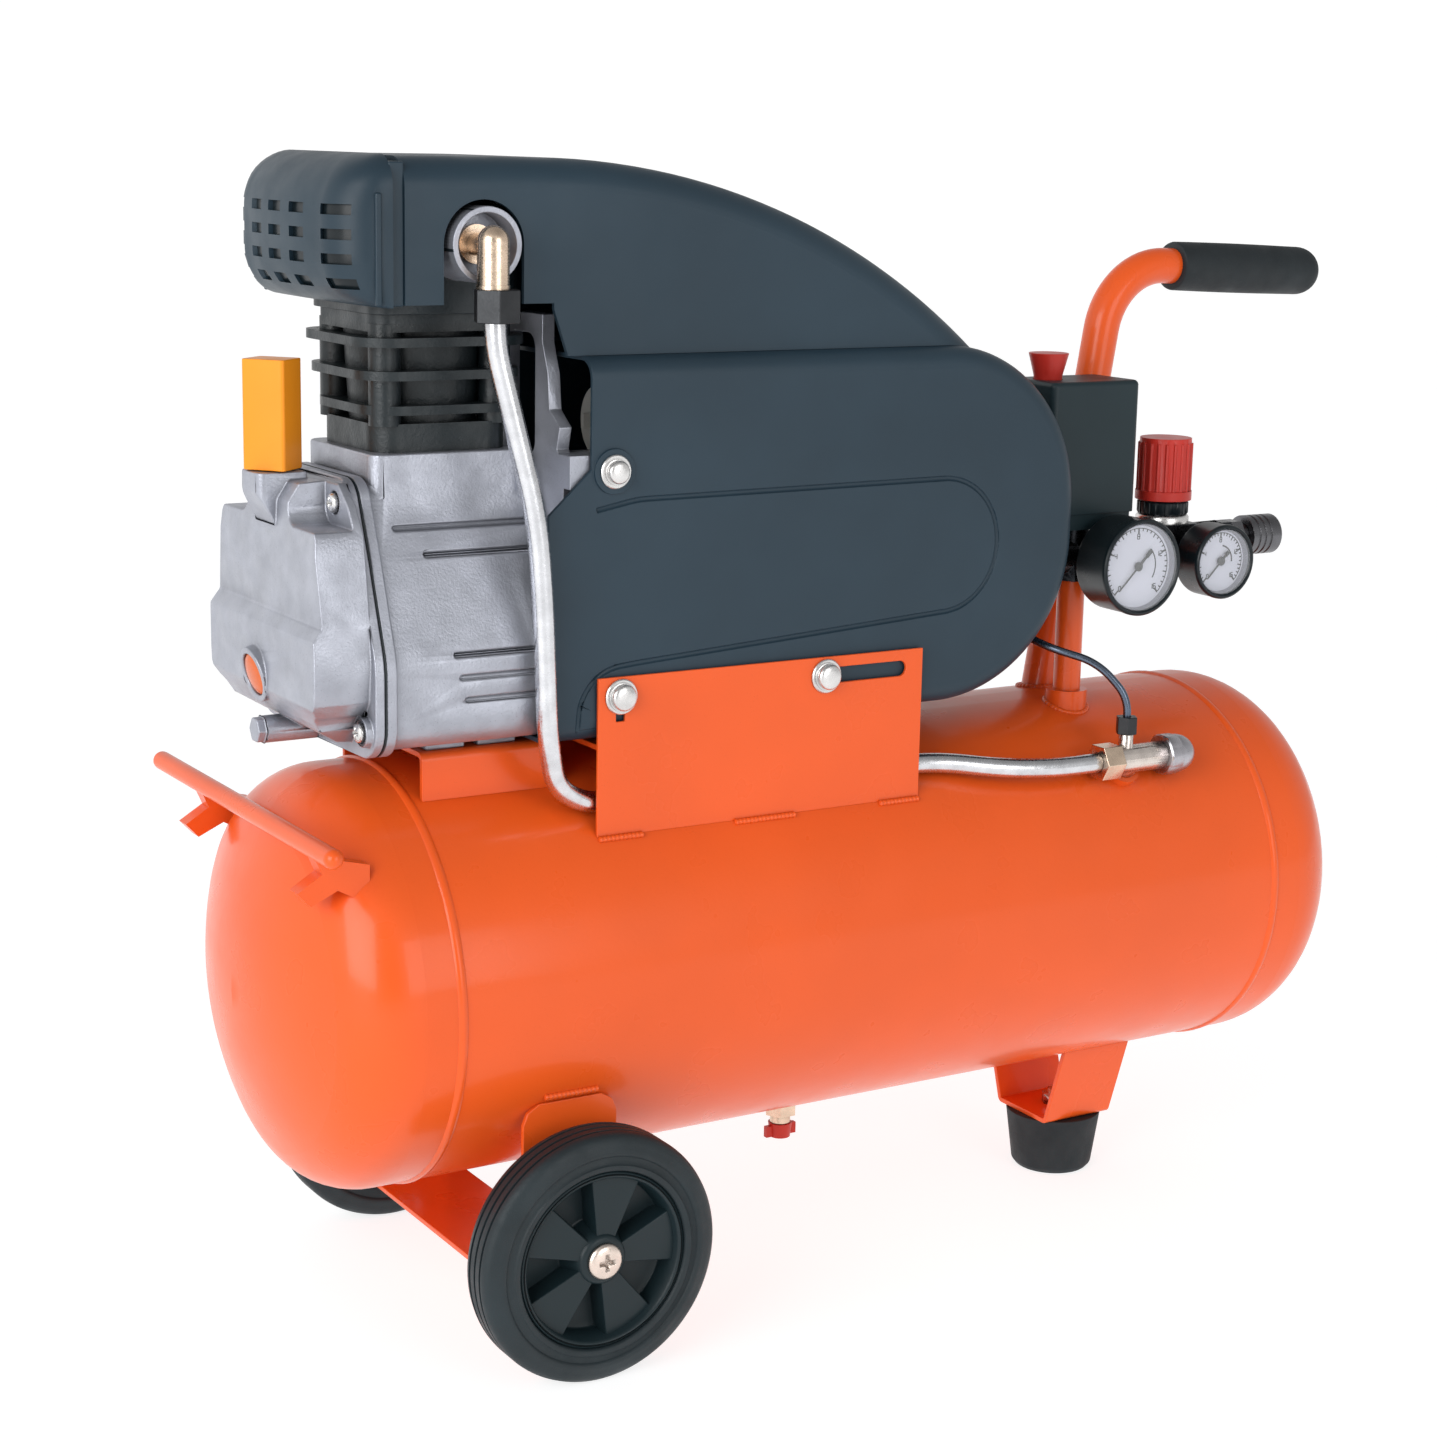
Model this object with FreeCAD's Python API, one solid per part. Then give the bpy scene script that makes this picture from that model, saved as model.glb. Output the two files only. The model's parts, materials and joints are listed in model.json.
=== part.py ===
import FreeCAD
import Part
import math
import os
from FreeCAD import Vector

# Portable piston air compressor: one horizontal tank on two wheels and a rubber foot, a
# single-cylinder pump driven directly by an electric motor, and a pressure switch with a
# regulator beside a bent push handle.  Millimetres, +Z up, +X along the tank towards the
# handle, -Y towards the side that carries the outlet pipe.  The wheels and the foot stand on z = 0.

# ---------------------------------------------------------------- driving dimensions
TANK_R = 112.0            # outer radius of the rolled shell
TANK_WALL = 2.0
TANK_Z = 191.5            # height of the tank axis
SEAM_LEFT = -286.0
SEAM_RIGHT = 249.0
END_SKIRT = 16.0          # straight part of each dished end
END_KNUCKLE = 42.0
END_DEPTH = 58.0

WHEEL_X = -217.4
WHEEL_R = 66.5
WHEEL_OUTER_Y = 139.7
TYRE_WIDTH = 28.0
RIM_R = 47.0
BRACKET_Y = 101.5         # outer face of the wheel bracket
BRACKET_Z = 34.0
BRACKET_HALF = 27.0

FOOT_X = 177.0
FOOT_HALF_X = 24.5
FOOT_HALF_Y = 23.7
FOOT_TOP_Z = 36.0

AXIS_Z = 388.0            # crankshaft and motor axis
CYL_X = -256.0            # cylinder axis
THROW = 19.0
ROD_LENGTH = 95.5
BORE_R = 23.6
PISTON_R = 23.5
CASE_HALF = 72.0          # half width of the crankcase at its foot
CASE_BOTTOM = 323.0
CASE_TOP = 453.0
PAD_TOP = 467.0
CYL_TOP = 530.0
HEAD_TOP = 588.0

COVER_HALF = 77.0         # half width of the lower motor cover
COVER_TOP = 515.0
COVER_BOTTOM = 320.0
COVER_RIGHT = 114.0
COVER_END_R = 88.0
SHROUD_HALF = 68.0
SHROUD_TOP = 611.0
SHROUD_ARC_X = -215.0     # where the flat top starts to fall away
SHROUD_ARC_R = 405.5
GUARD_TOP = 612.0
BOSS_X = -250.2           # outlet boss of the head
BOSS_Z = 569.5
PLASTIC = 2.5             # wall of the plastic covers

PLATE_X0 = -191.8
PLATE_X1 = 8.5
PLATE_TOP = 353.2
BOLT_Z = 343.0
BOLT_LEFT = -178.7
BOLT_RIGHT = -54.1

VALVE_Y = -89.0           # check valve axis, along X
VALVE_Z = 279.0
PIPE_R = 5.5
THIN_R = 2.25

RISER_X = 150.0
LINE_Y = -28.0            # manifold, regulator and outlet axis
LINE_Z = 388.0
REG_X = 216.0
GAUGE_L = (161.7, 386.8)  # centre of the large gauge
GAUGE_S = (226.0, 385.5)  # centre of the small gauge

HANDLE_Y = 12.0
HANDLE_R = 10.5
GRIP_R = 14.5
GRIP_END = 360.0

X = Vector(1, 0, 0)
Y = Vector(0, 1, 0)
Z = Vector(0, 0, 1)


# ---------------------------------------------------------------- geometry helpers
def box(x0, x1, y0, y1, z0, z1):
    return Part.makeBox(x1 - x0, y1 - y0, z1 - z0, Vector(x0, y0, z0))


def rod(p, q, r):
    p = Vector(*p)
    q = Vector(*q)
    return Part.makeCylinder(r, (q - p).Length, p, q - p)


def pipe(p, q, r, bore):
    return rod(p, q, r).cut(rod(p, q, bore))


def cone(p, q, r0, r1):
    p = Vector(*p)
    q = Vector(*q)
    return Part.makeCone(r0, r1, (q - p).Length, p, q - p)


def fuse(shapes):
    whole = shapes[0]
    for shape in shapes[1:]:
        whole = whole.fuse(shape)
    return whole.removeSplitter()


def cut(shape, tools):
    for tool in tools:
        shape = shape.cut(tool)
    return shape


def group(shapes):
    return Part.makeCompound(shapes)


def corner_arc(a, b, c, radius):
    """Tangent arc of the given radius that rounds the corner b between runs a-b and b-c."""
    u = (a - b).normalize()
    v = (c - b).normalize()
    half = u.getAngle(v) / 2.0
    back = radius / math.tan(half)
    start = b + u * back
    end = b + v * back
    middle = b + (u + v).normalize() * (radius / math.sin(half) - radius)
    return start, middle, end


def path_edges(points, radii, closed=False):
    """Straight runs joined by tangent arcs; radii has one value per point, 0 for sharp."""
    pts = [Vector(*p) for p in points]
    count = len(pts)
    corners = []
    for i, p in enumerate(pts):
        inner = closed or 0 < i < count - 1
        if inner and radii[i] > 0:
            corners.append(corner_arc(pts[i - 1], p, pts[(i + 1) % count], radii[i]))
        else:
            corners.append((p, None, p))
    edges = []
    spans = count if closed else count - 1
    for i in range(count):
        start, middle, end = corners[i]
        if middle is not None:
            edges.append(Part.Arc(start, middle, end).toShape())
        if i < spans:
            following = corners[(i + 1) % count][0]
            if (following - end).Length > 1e-6:
                edges.append(Part.LineSegment(end, following).toShape())
    return edges


def outline(points, radii, direction):
    """Solid prism of a closed outline with rounded corners, pushed along direction."""
    wire = Part.Wire(path_edges(points, radii, closed=True))
    return Part.Face(wire).extrude(direction)


def prism_y(points, radii, y0, y1):
    return outline([(x, y0, z) for x, z in points], radii, Vector(0, y1 - y0, 0))


def prism_x(points, radii, x0, x1):
    return outline([(x0, y, z) for y, z in points], radii, Vector(x1 - x0, 0, 0))


def prism_z(points, radii, z0, z1):
    return outline([(x, y, z0) for x, y in points], radii, Vector(0, 0, z1 - z0))


def rounded_box(x0, x1, y0, y1, z0, z1, r):
    """Box with its four upright edges rounded."""
    return prism_z([(x0, y0), (x1, y0), (x1, y1), (x0, y1)], [r] * 4, z0, z1)


def rounded_bar(x0, x1, y0, y1, z0, z1, r):
    """Box with its four edges along X rounded."""
    return prism_x([(y0, z0), (y1, z0), (y1, z1), (y0, z1)], [r] * 4, x0, x1)


def hexagon(p, q, across, turn=0.0):
    """Hexagonal prism from p to q, measured across its flats."""
    p = Vector(*p)
    q = Vector(*q)
    axis = (q - p).normalize()
    side = X if abs(axis.dot(X)) < 0.9 else Y
    other = axis.cross(side)
    reach = across / math.sqrt(3.0)
    angles = [math.radians(60 * i + turn) for i in range(6)]
    ring = [p + side * (reach * math.cos(a)) + other * (reach * math.sin(a)) for a in angles]
    wire = Part.makePolygon(ring + [ring[0]])
    return Part.Face(wire).extrude(q - p)


def swept_tube(points, radii, r, bore=0.0):
    """Round tube along straight runs and tangent arcs, with the length of its centre line."""
    edges = path_edges(points, radii)
    path = Part.Wire(edges)
    start = edges[0].valueAt(edges[0].FirstParameter)
    direction = edges[0].tangentAt(edges[0].FirstParameter)
    ring = Part.Wire(Part.Circle(start, direction, r).toShape())
    tube = path.makePipeShell([ring], True, False)
    if bore > 0:
        hole = Part.Wire(Part.Circle(start, direction, bore).toShape())
        tube = tube.cut(path.makePipeShell([hole], True, False))
    return tube, sum(edge.Length for edge in edges)


def largest_radii(points):
    """Arc radii at 0.45 of the shorter neighbouring run over the tangent of half the turn."""
    pts = [Vector(*p) for p in points]
    radii = [0.0]
    for a, b, c in zip(pts, pts[1:], pts[2:]):
        turn = (b - a).getAngle(c - b)
        shorter = min((b - a).Length, (c - b).Length)
        radii.append(0.45 * shorter / math.tan(turn / 2.0))
    return radii + [0.0]


def mirrored(shape):
    return shape.mirror(Vector(0, 0, 0), Y)


def both_sides(shape):
    return [shape, mirrored(shape)]


def tank_space(extra=0.0):
    """Solid that fills the tank's outer surface, used to trim what is welded to it."""
    r = TANK_R + extra
    return rod((SEAM_LEFT, 0, TANK_Z), (SEAM_RIGHT, 0, TANK_Z), r)


# ---------------------------------------------------------------- tank
def end_profile(offset):
    """Straight skirt, knuckle and crown of a dished end, moved inwards by offset."""
    radius = TANK_R
    knuckle_centre = radius - END_KNUCKLE
    crown_r = (knuckle_centre ** 2 + END_DEPTH ** 2 - END_KNUCKLE ** 2)
    crown_r = crown_r / (2.0 * (END_DEPTH - END_KNUCKLE))
    crown_x = END_SKIRT + END_DEPTH - crown_r
    half = math.asin(knuckle_centre / (crown_r - END_KNUCKLE))
    k = END_KNUCKLE - offset
    c = crown_r - offset
    middle = (math.pi / 2 + half) / 2
    skirt = (END_SKIRT, knuckle_centre + k)
    bend = (END_SKIRT + k * math.cos(middle), knuckle_centre + k * math.sin(middle))
    join = (crown_x + c * math.cos(half), c * math.sin(half))
    dome = (crown_x + c * math.cos(half / 2), c * math.sin(half / 2))
    tip = (crown_x + c, 0.0)
    return (0.0, radius - offset), skirt, bend, join, dome, tip


def tank_end_solid(offset):
    """Solid of revolution that fills one dished end, opening at x = 0 and bulging to +X."""
    edge, skirt, bend, join, dome, tip = [Vector(x, 0, r) for x, r in end_profile(offset)]
    origin = Vector(0, 0, 0)
    edges = [
        Part.LineSegment(edge, skirt).toShape(),
        Part.Arc(skirt, bend, join).toShape(),
        Part.Arc(join, dome, tip).toShape(),
        Part.LineSegment(tip, origin).toShape(),
        Part.LineSegment(origin, edge).toShape(),
    ]
    return Part.Face(Part.Wire(edges)).revolve(origin, X, 360)


def placed_end(offset, right):
    dome = tank_end_solid(offset)
    if not right:
        dome = dome.mirror(Vector(0, 0, 0), X)
    dome.translate(Vector(SEAM_RIGHT if right else SEAM_LEFT, 0, TANK_Z))
    return dome


def tank_ends():
    return group([placed_end(0.0, side).cut(placed_end(TANK_WALL, side)) for side in (False, True)])


def weld_bead(x):
    """Low rounded bead around the shell beside a seam."""
    half = 3.0
    a = Vector(x - half, 0, TANK_R - 0.5)
    b = Vector(x + half, 0, TANK_R - 0.5)
    top = Vector(x, 0, TANK_R + 1.2)
    edges = [Part.Arc(a, top, b).toShape(), Part.LineSegment(b, a).toShape()]
    bead = Part.Face(Part.Wire(edges)).revolve(Vector(0, 0, 0), X, 360)
    bead.translate(Vector(0, 0, TANK_Z))
    return bead


def riser_boss():
    return rod((RISER_X, LINE_Y, TANK_Z), (RISER_X, LINE_Y, 309), 12)


def valve_direction():
    return Vector(0, VALVE_Y, VALVE_Z - TANK_Z).normalize()


def valve_boss():
    base = Vector(150.0, 0, TANK_Z)
    return Part.makeCylinder(10.5, 116.0, base, valve_direction())


def drain_boss():
    return rod((-24.7, 0, 100), (-24.7, 0, 74.5), 10)


def tank_shell():
    a = (SEAM_LEFT, 0, TANK_Z)
    b = (SEAM_RIGHT, 0, TANK_Z)
    shell = fuse([rod(a, b, TANK_R), weld_bead(SEAM_LEFT + 3.2), weld_bead(SEAM_RIGHT - 3.2)])
    return cut(shell, [rod(a, b, TANK_R - TANK_WALL), riser_boss(), valve_boss(), drain_boss()])


def tank_ports():
    """Screwed bosses let into the shell, and the painted riser pipe to the manifold."""
    inside = tank_space(-TANK_WALL)
    riser = fuse([riser_boss().cut(inside), rod((RISER_X, LINE_Y, 309), (RISER_X, LINE_Y, 374), 8)])
    riser = riser.cut(rod((RISER_X, LINE_Y, 280), (RISER_X, LINE_Y, 380), 5.5))
    bore = Part.makeCylinder(6.0, 130.0, Vector(150.0, 0, TANK_Z), valve_direction())
    drain = drain_boss().cut(inside).cut(rod((-24.7, 0, 60), (-24.7, 0, 110), 4.5))
    return group([riser, valve_boss().cut(inside).cut(bore), drain])


def drain_valve():
    body = fuse([
        hexagon((-24.7, 0, 74.5), (-24.7, 0, 67), 17),
        rod((-24.7, 0, 67), (-24.7, 0, 62), 6),
    ])
    return body.cut(rod((-24.7, 0, 60), (-24.7, 0, 74.5), 2.3))


def drain_screw():
    knob = cone((-24.7, 0, 61.5), (-24.7, 0, 53), 7.0, 6.0)
    wings = box(-34.7, -14.7, -1.5, 1.5, 53.5, 60.0)
    return fuse([rod((-24.7, 0, 73), (-24.7, 0, 53), 2.2), knob, wings])


# ---------------------------------------------------------------- running gear
def wheel_bracket():
    t = 3.0
    y = BRACKET_Y
    z = BRACKET_Z
    outer = [(-y, z), (y, z), (y, 141), (-y, 141)]
    inner = [(-y + t, z + t), (y - t, z + t), (y - t, 150), (-y + t, 150)]
    x0 = WHEEL_X - BRACKET_HALF
    x1 = WHEEL_X + BRACKET_HALF
    sheet = prism_x(outer, [6, 6, 0, 0], x0, x1).cut(prism_x(inner, [3, 3, 0, 0], x0 - 1, x1 + 1))
    corners = []
    for s in (-1, 1):
        x = WHEEL_X + s * BRACKET_HALF
        tip = [(x, 150), (x, 131), (x - s * 2.5, 137), (x - s * 9, 141), (x - s * 9, 150)]
        corners.append(prism_y(tip, [0] * 5, -y - 1, y + 1))
    bolt = rod((WHEEL_X, -y - 1, WHEEL_R), (WHEEL_X, y + 1, WHEEL_R), 5.1)
    return cut(sheet, corners + [tank_space(), bolt])


def foot_bracket():
    t = 3.0
    b = FOOT_HALF_Y
    z = FOOT_TOP_Z
    outer = [(-b, z), (b, z), (b + 18, z + 57), (-b - 18, z + 57)]
    lean = t / math.cos(math.atan2(18.0, 57.0))
    slope = 18.0 / 57.0
    inner = [
        (-b + lean - slope * t, z + t), (b - lean + slope * t, z + t),
        (b - lean + slope * 60, z + 60), (-b + lean - slope * 60, z + 60),
    ]
    x0 = FOOT_X - FOOT_HALF_X
    x1 = FOOT_X + FOOT_HALF_X
    sheet = prism_x(outer, [4, 4, 0, 0], x0, x1).cut(prism_x(inner, [0] * 4, x0 - 1, x1 + 1))
    return cut(sheet, [tank_space(), rod((FOOT_X, 0, 30), (FOOT_X, 0, 45), 4.1)])


def rubber_foot():
    foot = cone((FOOT_X, 0, 3), (FOOT_X, 0, FOOT_TOP_Z), 24.5, 29.0)
    foot = foot.fuse(cone((FOOT_X, 0, 0), (FOOT_X, 0, 3), 22.0, 24.5)).removeSplitter()
    return foot.cut(rod((FOOT_X, 0, -1), (FOOT_X, 0, 20), 9)).cut(
        rod((FOOT_X, 0, 19), (FOOT_X, 0, 40), 4.1))


def axle_bolt():
    """Shouldered wheel bolt on the -Y side: domed head, shank, nut inside the bracket."""
    y = -WHEEL_OUTER_Y
    head = cone((WHEEL_X, y + 1.0, WHEEL_R), (WHEEL_X, y - 3.0, WHEEL_R), 9.5, 7.0)
    shank = rod((WHEEL_X, y + 1.0, WHEEL_R), (WHEEL_X, -88.0, WHEEL_R), 5.0)
    collar = rod((WHEEL_X, -105.5, WHEEL_R), (WHEEL_X, -BRACKET_Y, WHEEL_R), 9.0)
    nut = hexagon((WHEEL_X, -98.5, WHEEL_R), (WHEEL_X, -91.5, WHEEL_R), 16)
    return fuse([head, shank, collar, nut])


def chassis_bolts():
    foot_bolt = fuse([
        rod((FOOT_X, 0, 16), (FOOT_X, 0, 48), 4.0),
        rod((FOOT_X, 0, 14), (FOOT_X, 0, 19), 7.5),
        hexagon((FOOT_X, 0, 39), (FOOT_X, 0, 45), 13),
    ])
    return group(both_sides(axle_bolt()) + [foot_bolt])


def petal(angle):
    """One leaf-shaped spoke of a wheel, wide at the rim and narrow at the hub."""
    points = [(-4.5, 11.0), (4.5, 11.0), (12.5, 44.0), (-12.5, 44.0)]
    leaf = prism_y(points, [0] * 4, -WHEEL_OUTER_Y + 4.0, -WHEEL_OUTER_Y + 20.0)
    leaf.rotate(Vector(0, 0, 0), Y, angle)
    return leaf


def wheel_rim_near():
    y = -WHEEL_OUTER_Y
    c = (WHEEL_X, WHEEL_R)
    ring = pipe((0, y + 1.5, 0), (0, y + TYRE_WIDTH - 1.5, 0), RIM_R, RIM_R - 5.0)
    hub = cone((0, y + 1.5, 0), (0, y + 5.0, 0), 13.0, 15.0)
    hub = hub.fuse(rod((0, y + 5.0, 0), (0, -106.0, 0), 15.0))
    web = rod((0, y + 16.0, 0), (0, y + 20.0, 0), RIM_R - 2.0)
    spokes = [petal(72.0 * i + 12.0) for i in range(5)]
    rim = fuse([ring, hub, web] + spokes).cut(rod((0, y - 1, 0), (0, -100, 0), 5.08))
    rim.translate(Vector(c[0], 0, c[1]))
    return rim


def tyre_near():
    y = -WHEEL_OUTER_Y
    w = TYRE_WIDTH
    r = WHEEL_R
    points = [(y, RIM_R), (y, r - 7), (y + 4, r), (y + w - 4, r), (y + w, r - 7), (y + w, RIM_R)]
    ring = [Vector(0, a, b) for a, b in points]
    face = Part.Face(Part.Wire(path_edges([tuple(v) for v in ring], [0, 3, 3, 3, 3, 0], closed=True)))
    tyre = face.revolve(Vector(0, 0, 0), Y, 360)
    grooves = []
    for i in range(3):
        a = y + w / 2.0 + (i - 1) * 5.5
        grooves.append(pipe((0, a - 0.8, 0), (0, a + 0.8, 0), r + 1, r - 1.6))
    tyre = cut(tyre, grooves)
    tyre.translate(Vector(WHEEL_X, 0, WHEEL_R))
    return tyre


def wheel_rim_far():
    return mirrored(wheel_rim_near())


def tyre_far():
    return mirrored(tyre_near())


# ---------------------------------------------------------------- bars, handle and saddles
def carry_bar():
    x = -352.5
    z = 287.2
    half = 120.5
    r = 5.0
    bar = fuse([rod((x, -half + r, z), (x, half - r, z), r)] + [
        Part.makeSphere(r, Vector(x, s * (half - r), z)) for s in (-1, 1)])
    tab = [(x, z - 1), (x + 5, z - 1), (x + 14, 277), (x + 34, 272), (x + 34, 252), (x + 17, 261),
           (x + 3, 254.5), (x - 4, 262), (x + 9, 270), (x + 5, 279)]
    tabs = [prism_y(tab, [0] * 10, y - 5, y + 5) for y in (-76.0, 76.0)]
    return cut(fuse([bar] + tabs), [placed_end(0.0, False), tank_space()])


def handle_points():
    lean = 0.165
    foot = (159.0, HANDLE_Y, 292.0)
    corner_z = 553.0
    corner = (159.0 + lean * (corner_z - 292.0), HANDLE_Y, corner_z)
    end = (GRIP_END - 9.0, HANDLE_Y, 547.4)
    return [foot, corner, end]


def handle_tube():
    tube, _ = swept_tube(handle_points(), [0, 44.0, 0], HANDLE_R, HANDLE_R - 1.8)
    return tube.cut(tank_space())


def grip():
    """Foam sleeve with a rounded closed end, pushed over the handle tube."""
    _, corner, end = [Vector(*p) for p in handle_points()]
    along = (end - corner).normalize()
    dome = end - along * (GRIP_R - 9.0)
    start = dome - along * 98.5
    sleeve = fuse([rod(start, dome, GRIP_R), Part.makeSphere(GRIP_R, dome)])
    return sleeve.cut(rod(start - along, end, HANDLE_R))


def motor_saddle():
    """Two upright plates welded to the tank with a tray between them under the motor."""
    y1 = 80.0
    y0 = 78.0
    plate = box(PLATE_X0, PLATE_X1, -y1, -y0, 262, PLATE_TOP)
    hole = rod((BOLT_LEFT, -90, BOLT_Z), (BOLT_LEFT, -70, BOLT_Z), 4.2)
    keyway = box(BOLT_LEFT - 2.6, BOLT_LEFT + 2.6, -90, -70, BOLT_Z - 13, BOLT_Z)
    slot = box(BOLT_RIGHT, -6.4, -90, -70, BOLT_Z - 4.2, BOLT_Z + 4.2)
    ends = [rod((x, -90, BOLT_Z), (x, -70, BOLT_Z), 4.2) for x in (BOLT_RIGHT, -6.4)]
    plate = cut(plate, [hole, keyway, slot, tank_space()] + ends)
    tray = box(PLATE_X0 + 4, PLATE_X1 - 4, -y0, y0, 314, 317)
    return fuse(both_sides(plate) + [tray])


def pump_saddle():
    t = 3.0
    y = 50.0
    outer = [(-y, 270), (y, 270), (y, 317), (-y, 317)]
    inner = [(-y + t, 260), (y - t, 260), (y - t, 314), (-y + t, 314)]
    sheet = prism_x(outer, [0, 0, 5, 5], -276, -197).cut(prism_x(inner, [0, 0, 2, 2], -280, -190))
    return sheet.cut(tank_space())


def saddles():
    return group([motor_saddle(), pump_saddle()])


def side_bolt(x, z, face, across, washer, depth):
    """Hexagon bolt with washer against a face on the -Y side, reaching depth past it."""
    return fuse([
        rod((x, -face - 1.5, z), (x, -face, z), washer),
        hexagon((x, -face - 1.5 - across * 0.45, z), (x, -face - 1.5, z), across, 30.0),
        rod((x, -face - 1.5, z), (x, -face + depth, z), across * 0.3),
    ])


def cover_bolts():
    bolts = [
        side_bolt(BOLT_LEFT, BOLT_Z, 80.0, 13.0, 9.0, 18.0),
        side_bolt(BOLT_RIGHT, BOLT_Z, 80.0, 13.0, 9.0, 18.0),
        side_bolt(-182.5, 457.8, 78.5, 11.0, 8.5, 15.0),
    ]
    return group([side for bolt in bolts for side in both_sides(bolt)])


# ---------------------------------------------------------------- pump
def case_section(grow, x0, x1):
    """Section of the crankcase: wide at the foot, leaning in to the cylinder pad."""
    w = CASE_HALF + grow
    side = [(w, CASE_BOTTOM - grow), (w, 369), (w - 18, 417), (38 + grow, CASE_TOP + grow)]
    points = side + [(-y, z) for y, z in reversed(side)]
    radii = [14 + grow, 40, 60, 12 + grow]
    return prism_x(points, radii + radii[::-1], x0, x1)


def case_groove(x0, x1, z, depth=2.2):
    """Shallow cooling groove cast along the flank of the crankcase."""
    groove = prism_x([(-CASE_HALF - 6, z - 1.3), (0, z - 1.3), (0, z + 1.3), (-CASE_HALF - 6, z + 1.3)],
                     [0] * 4, x0, x1)
    return groove.cut(case_section(-depth, x0 - 1, x1 + 1))


def crankcase():
    body = fuse([
        case_section(0.0, -306, -208),
        case_section(3.0, -306, -300),
        rounded_box(-298, -214, -42, 42, 440, PAD_TOP, 8),
        box(-272, -250, -46, 46, 317, 330),
        box(-243, -221, -46, 46, 317, 330),
    ])
    boss = rod((-232, 0, AXIS_Z), (-208, 0, AXIS_Z), 29)
    body = body.cut(case_section(-8.0, -310, -216)).fuse(boss.cut(rod((-240, 0, AXIS_Z),
                    (-200, 0, AXIS_Z), 17.0))).removeSplitter()
    grooves = [case_groove(-290, -212, 431), case_groove(-276, -212, 418)]
    grooves += [case_groove(-268 + 3 * i, -212, 370 - 11.5 * i) for i in range(3)]
    grooves += [mirrored(groove) for groove in grooves]
    spigot = rod((CYL_X, 0, 430), (CYL_X, 0, 470), 29.1)
    shaft = rod((-240, 0, AXIS_Z), (-200, 0, AXIS_Z), 17.0)
    return cut(body, grooves + [spigot, shaft] + case_screw_holes(2.45) + head_bolt_holes(3.25))


def case_screw_places():
    return [(s * y, z) for s in (-1, 1) for y, z in ((65.0, 334.5), (36.0, 444.0))]


def case_screw_holes(r):
    return [rod((-330, y, z), (-296, y, z), r) for y, z in case_screw_places()]


def cover_form(inset):
    """Nose of the crankcase cover: side profile, front outline and plan outline crossed."""
    i = inset
    side = [(-311, 454 - i), (-330 + i, 453 - i), (-336 + i, 444 - i), (-337.5 + i, 421), (-336.5 + i, 388),
            (-341.5 + i, 381), (-341.5 + i, 348), (-334 + i, 335 + i), (-320, 326.5 + i), (-311, 325.5 + i)]
    edge = [(40 - i, 454 - i), (52 - i, 444 - i), (61 - i, 430), (64 - i, 412), (68 - i, 386), (70 - i, 368),
            (68 - i, 350), (58 - i, 336 + i), (46, 326 + i)]
    front = edge + [(-y, z) for y, z in reversed(edge)]
    plan = [(-311, -76 + i), (-345, -68 + i), (-345, 68 - i), (-311, 76 - i)]
    body = prism_y(side, [0] * 10, -80, 80).common(prism_x(front, [0] * 18, -350, -311))
    return body.common(prism_z(plan, [0] * 4, 300, 470))


def screw_pockets(grow):
    """Corner recesses of the cover that leave room for the four screws."""
    g = grow
    top = [prism_x([(s * (26 - g), 433 - g), (s * 90, 433 - g), (s * 90, 480), (s * (26 - g), 480)],
                   [9, 0, 0, 0], -360, -316 + g) for s in (-1, 1)]
    low = [rod((-360, s * 65, 334.5), (-315 + g, s * 65, 334.5), 8.5 + g) for s in (-1, 1)]
    return top + low


def sight_axis():
    """Centre and outward direction of the oil sight glass on the lower slope."""
    return Vector(-339.5, 6.0, 354.0), Vector(-0.97, 0, -0.24).normalize()


def crankcase_cover():
    centre, out = sight_axis()
    bezel = Part.makeCylinder(14.5, 12.0, centre - out * 8.0, out)
    bosses = [rod((-316, y, z), (-307.5, y, z), 7.5) for y, z in case_screw_places()]
    neck = prism_y([(-320, 457), (-346, 457), (-346, 447), (-337, 431), (-320, 431)], [0] * 5, -20, 20)
    neck = neck.common(rounded_box(-346, -315, -12.5, 12.5, 430, 458, 5))
    shell = cut(cover_form(0.0), screw_pockets(0.0))
    drain = rod((-341, 0, 326), (-310, 0, 326), 7.0)
    drain_head = hexagon((-345.5, 0, 326), (-341, 0, 326), 12.0)
    body = fuse([shell, case_section(3.0, -312, -306.8), neck, bezel, drain, drain_head] + bosses)
    cavity = cut(cover_form(5.0), screw_pockets(5.0))
    cavity = cavity.fuse(case_section(-8.0, -313, -306).cut(rod((-340, 0, 326), (-300, 0, 326), 8.0)))
    glass = Part.makeCylinder(11.0, 60.0, centre - out * 40.0, out)
    plug = rod((-333, 0, 445.5), (-333, 0, 470), 5.3)
    sinks = [rod((-330, y, z), (-314, y, z), 5.6) for y, z in case_screw_places()]
    return cut(body, [cavity, glass, plug] + sinks + case_screw_holes(2.6))


def oil_sight_glass():
    centre, out = sight_axis()
    return Part.makeCylinder(10.9, 5.0, centre - out * 1.5, out)


def breather_plug():
    """Push-in breather filler plug, standing turned a little on its neck."""
    head = rounded_box(-11.6, 11.6, -10.0, 10.0, 457.5, 512, 2.0)
    stem = rod((0, 0, 446), (0, 0, 458), 5.2)
    plug = head.fuse(stem).removeSplitter()
    plug.rotate(Vector(0, 0, 0), Z, -50)
    plug.translate(Vector(-333, 0, 0))
    return plug


def gaskets():
    """Thin joints under the crankcase cover and between cylinder and valve plate."""
    case = case_section(3.0, -306.8, -306.0).cut(case_section(-8.0, -307, -305))
    case = cut(case, case_screw_holes(2.6))
    head = rounded_box(CYL_X - 38, CYL_X + 38, -38, 38, CYL_TOP, CYL_TOP + 0.8, 10)
    head = cut(head, [rod((CYL_X, 0, 520), (CYL_X, 0, 540), 25)] + head_bolt_holes(3.4))
    return group([case, head])


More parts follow.
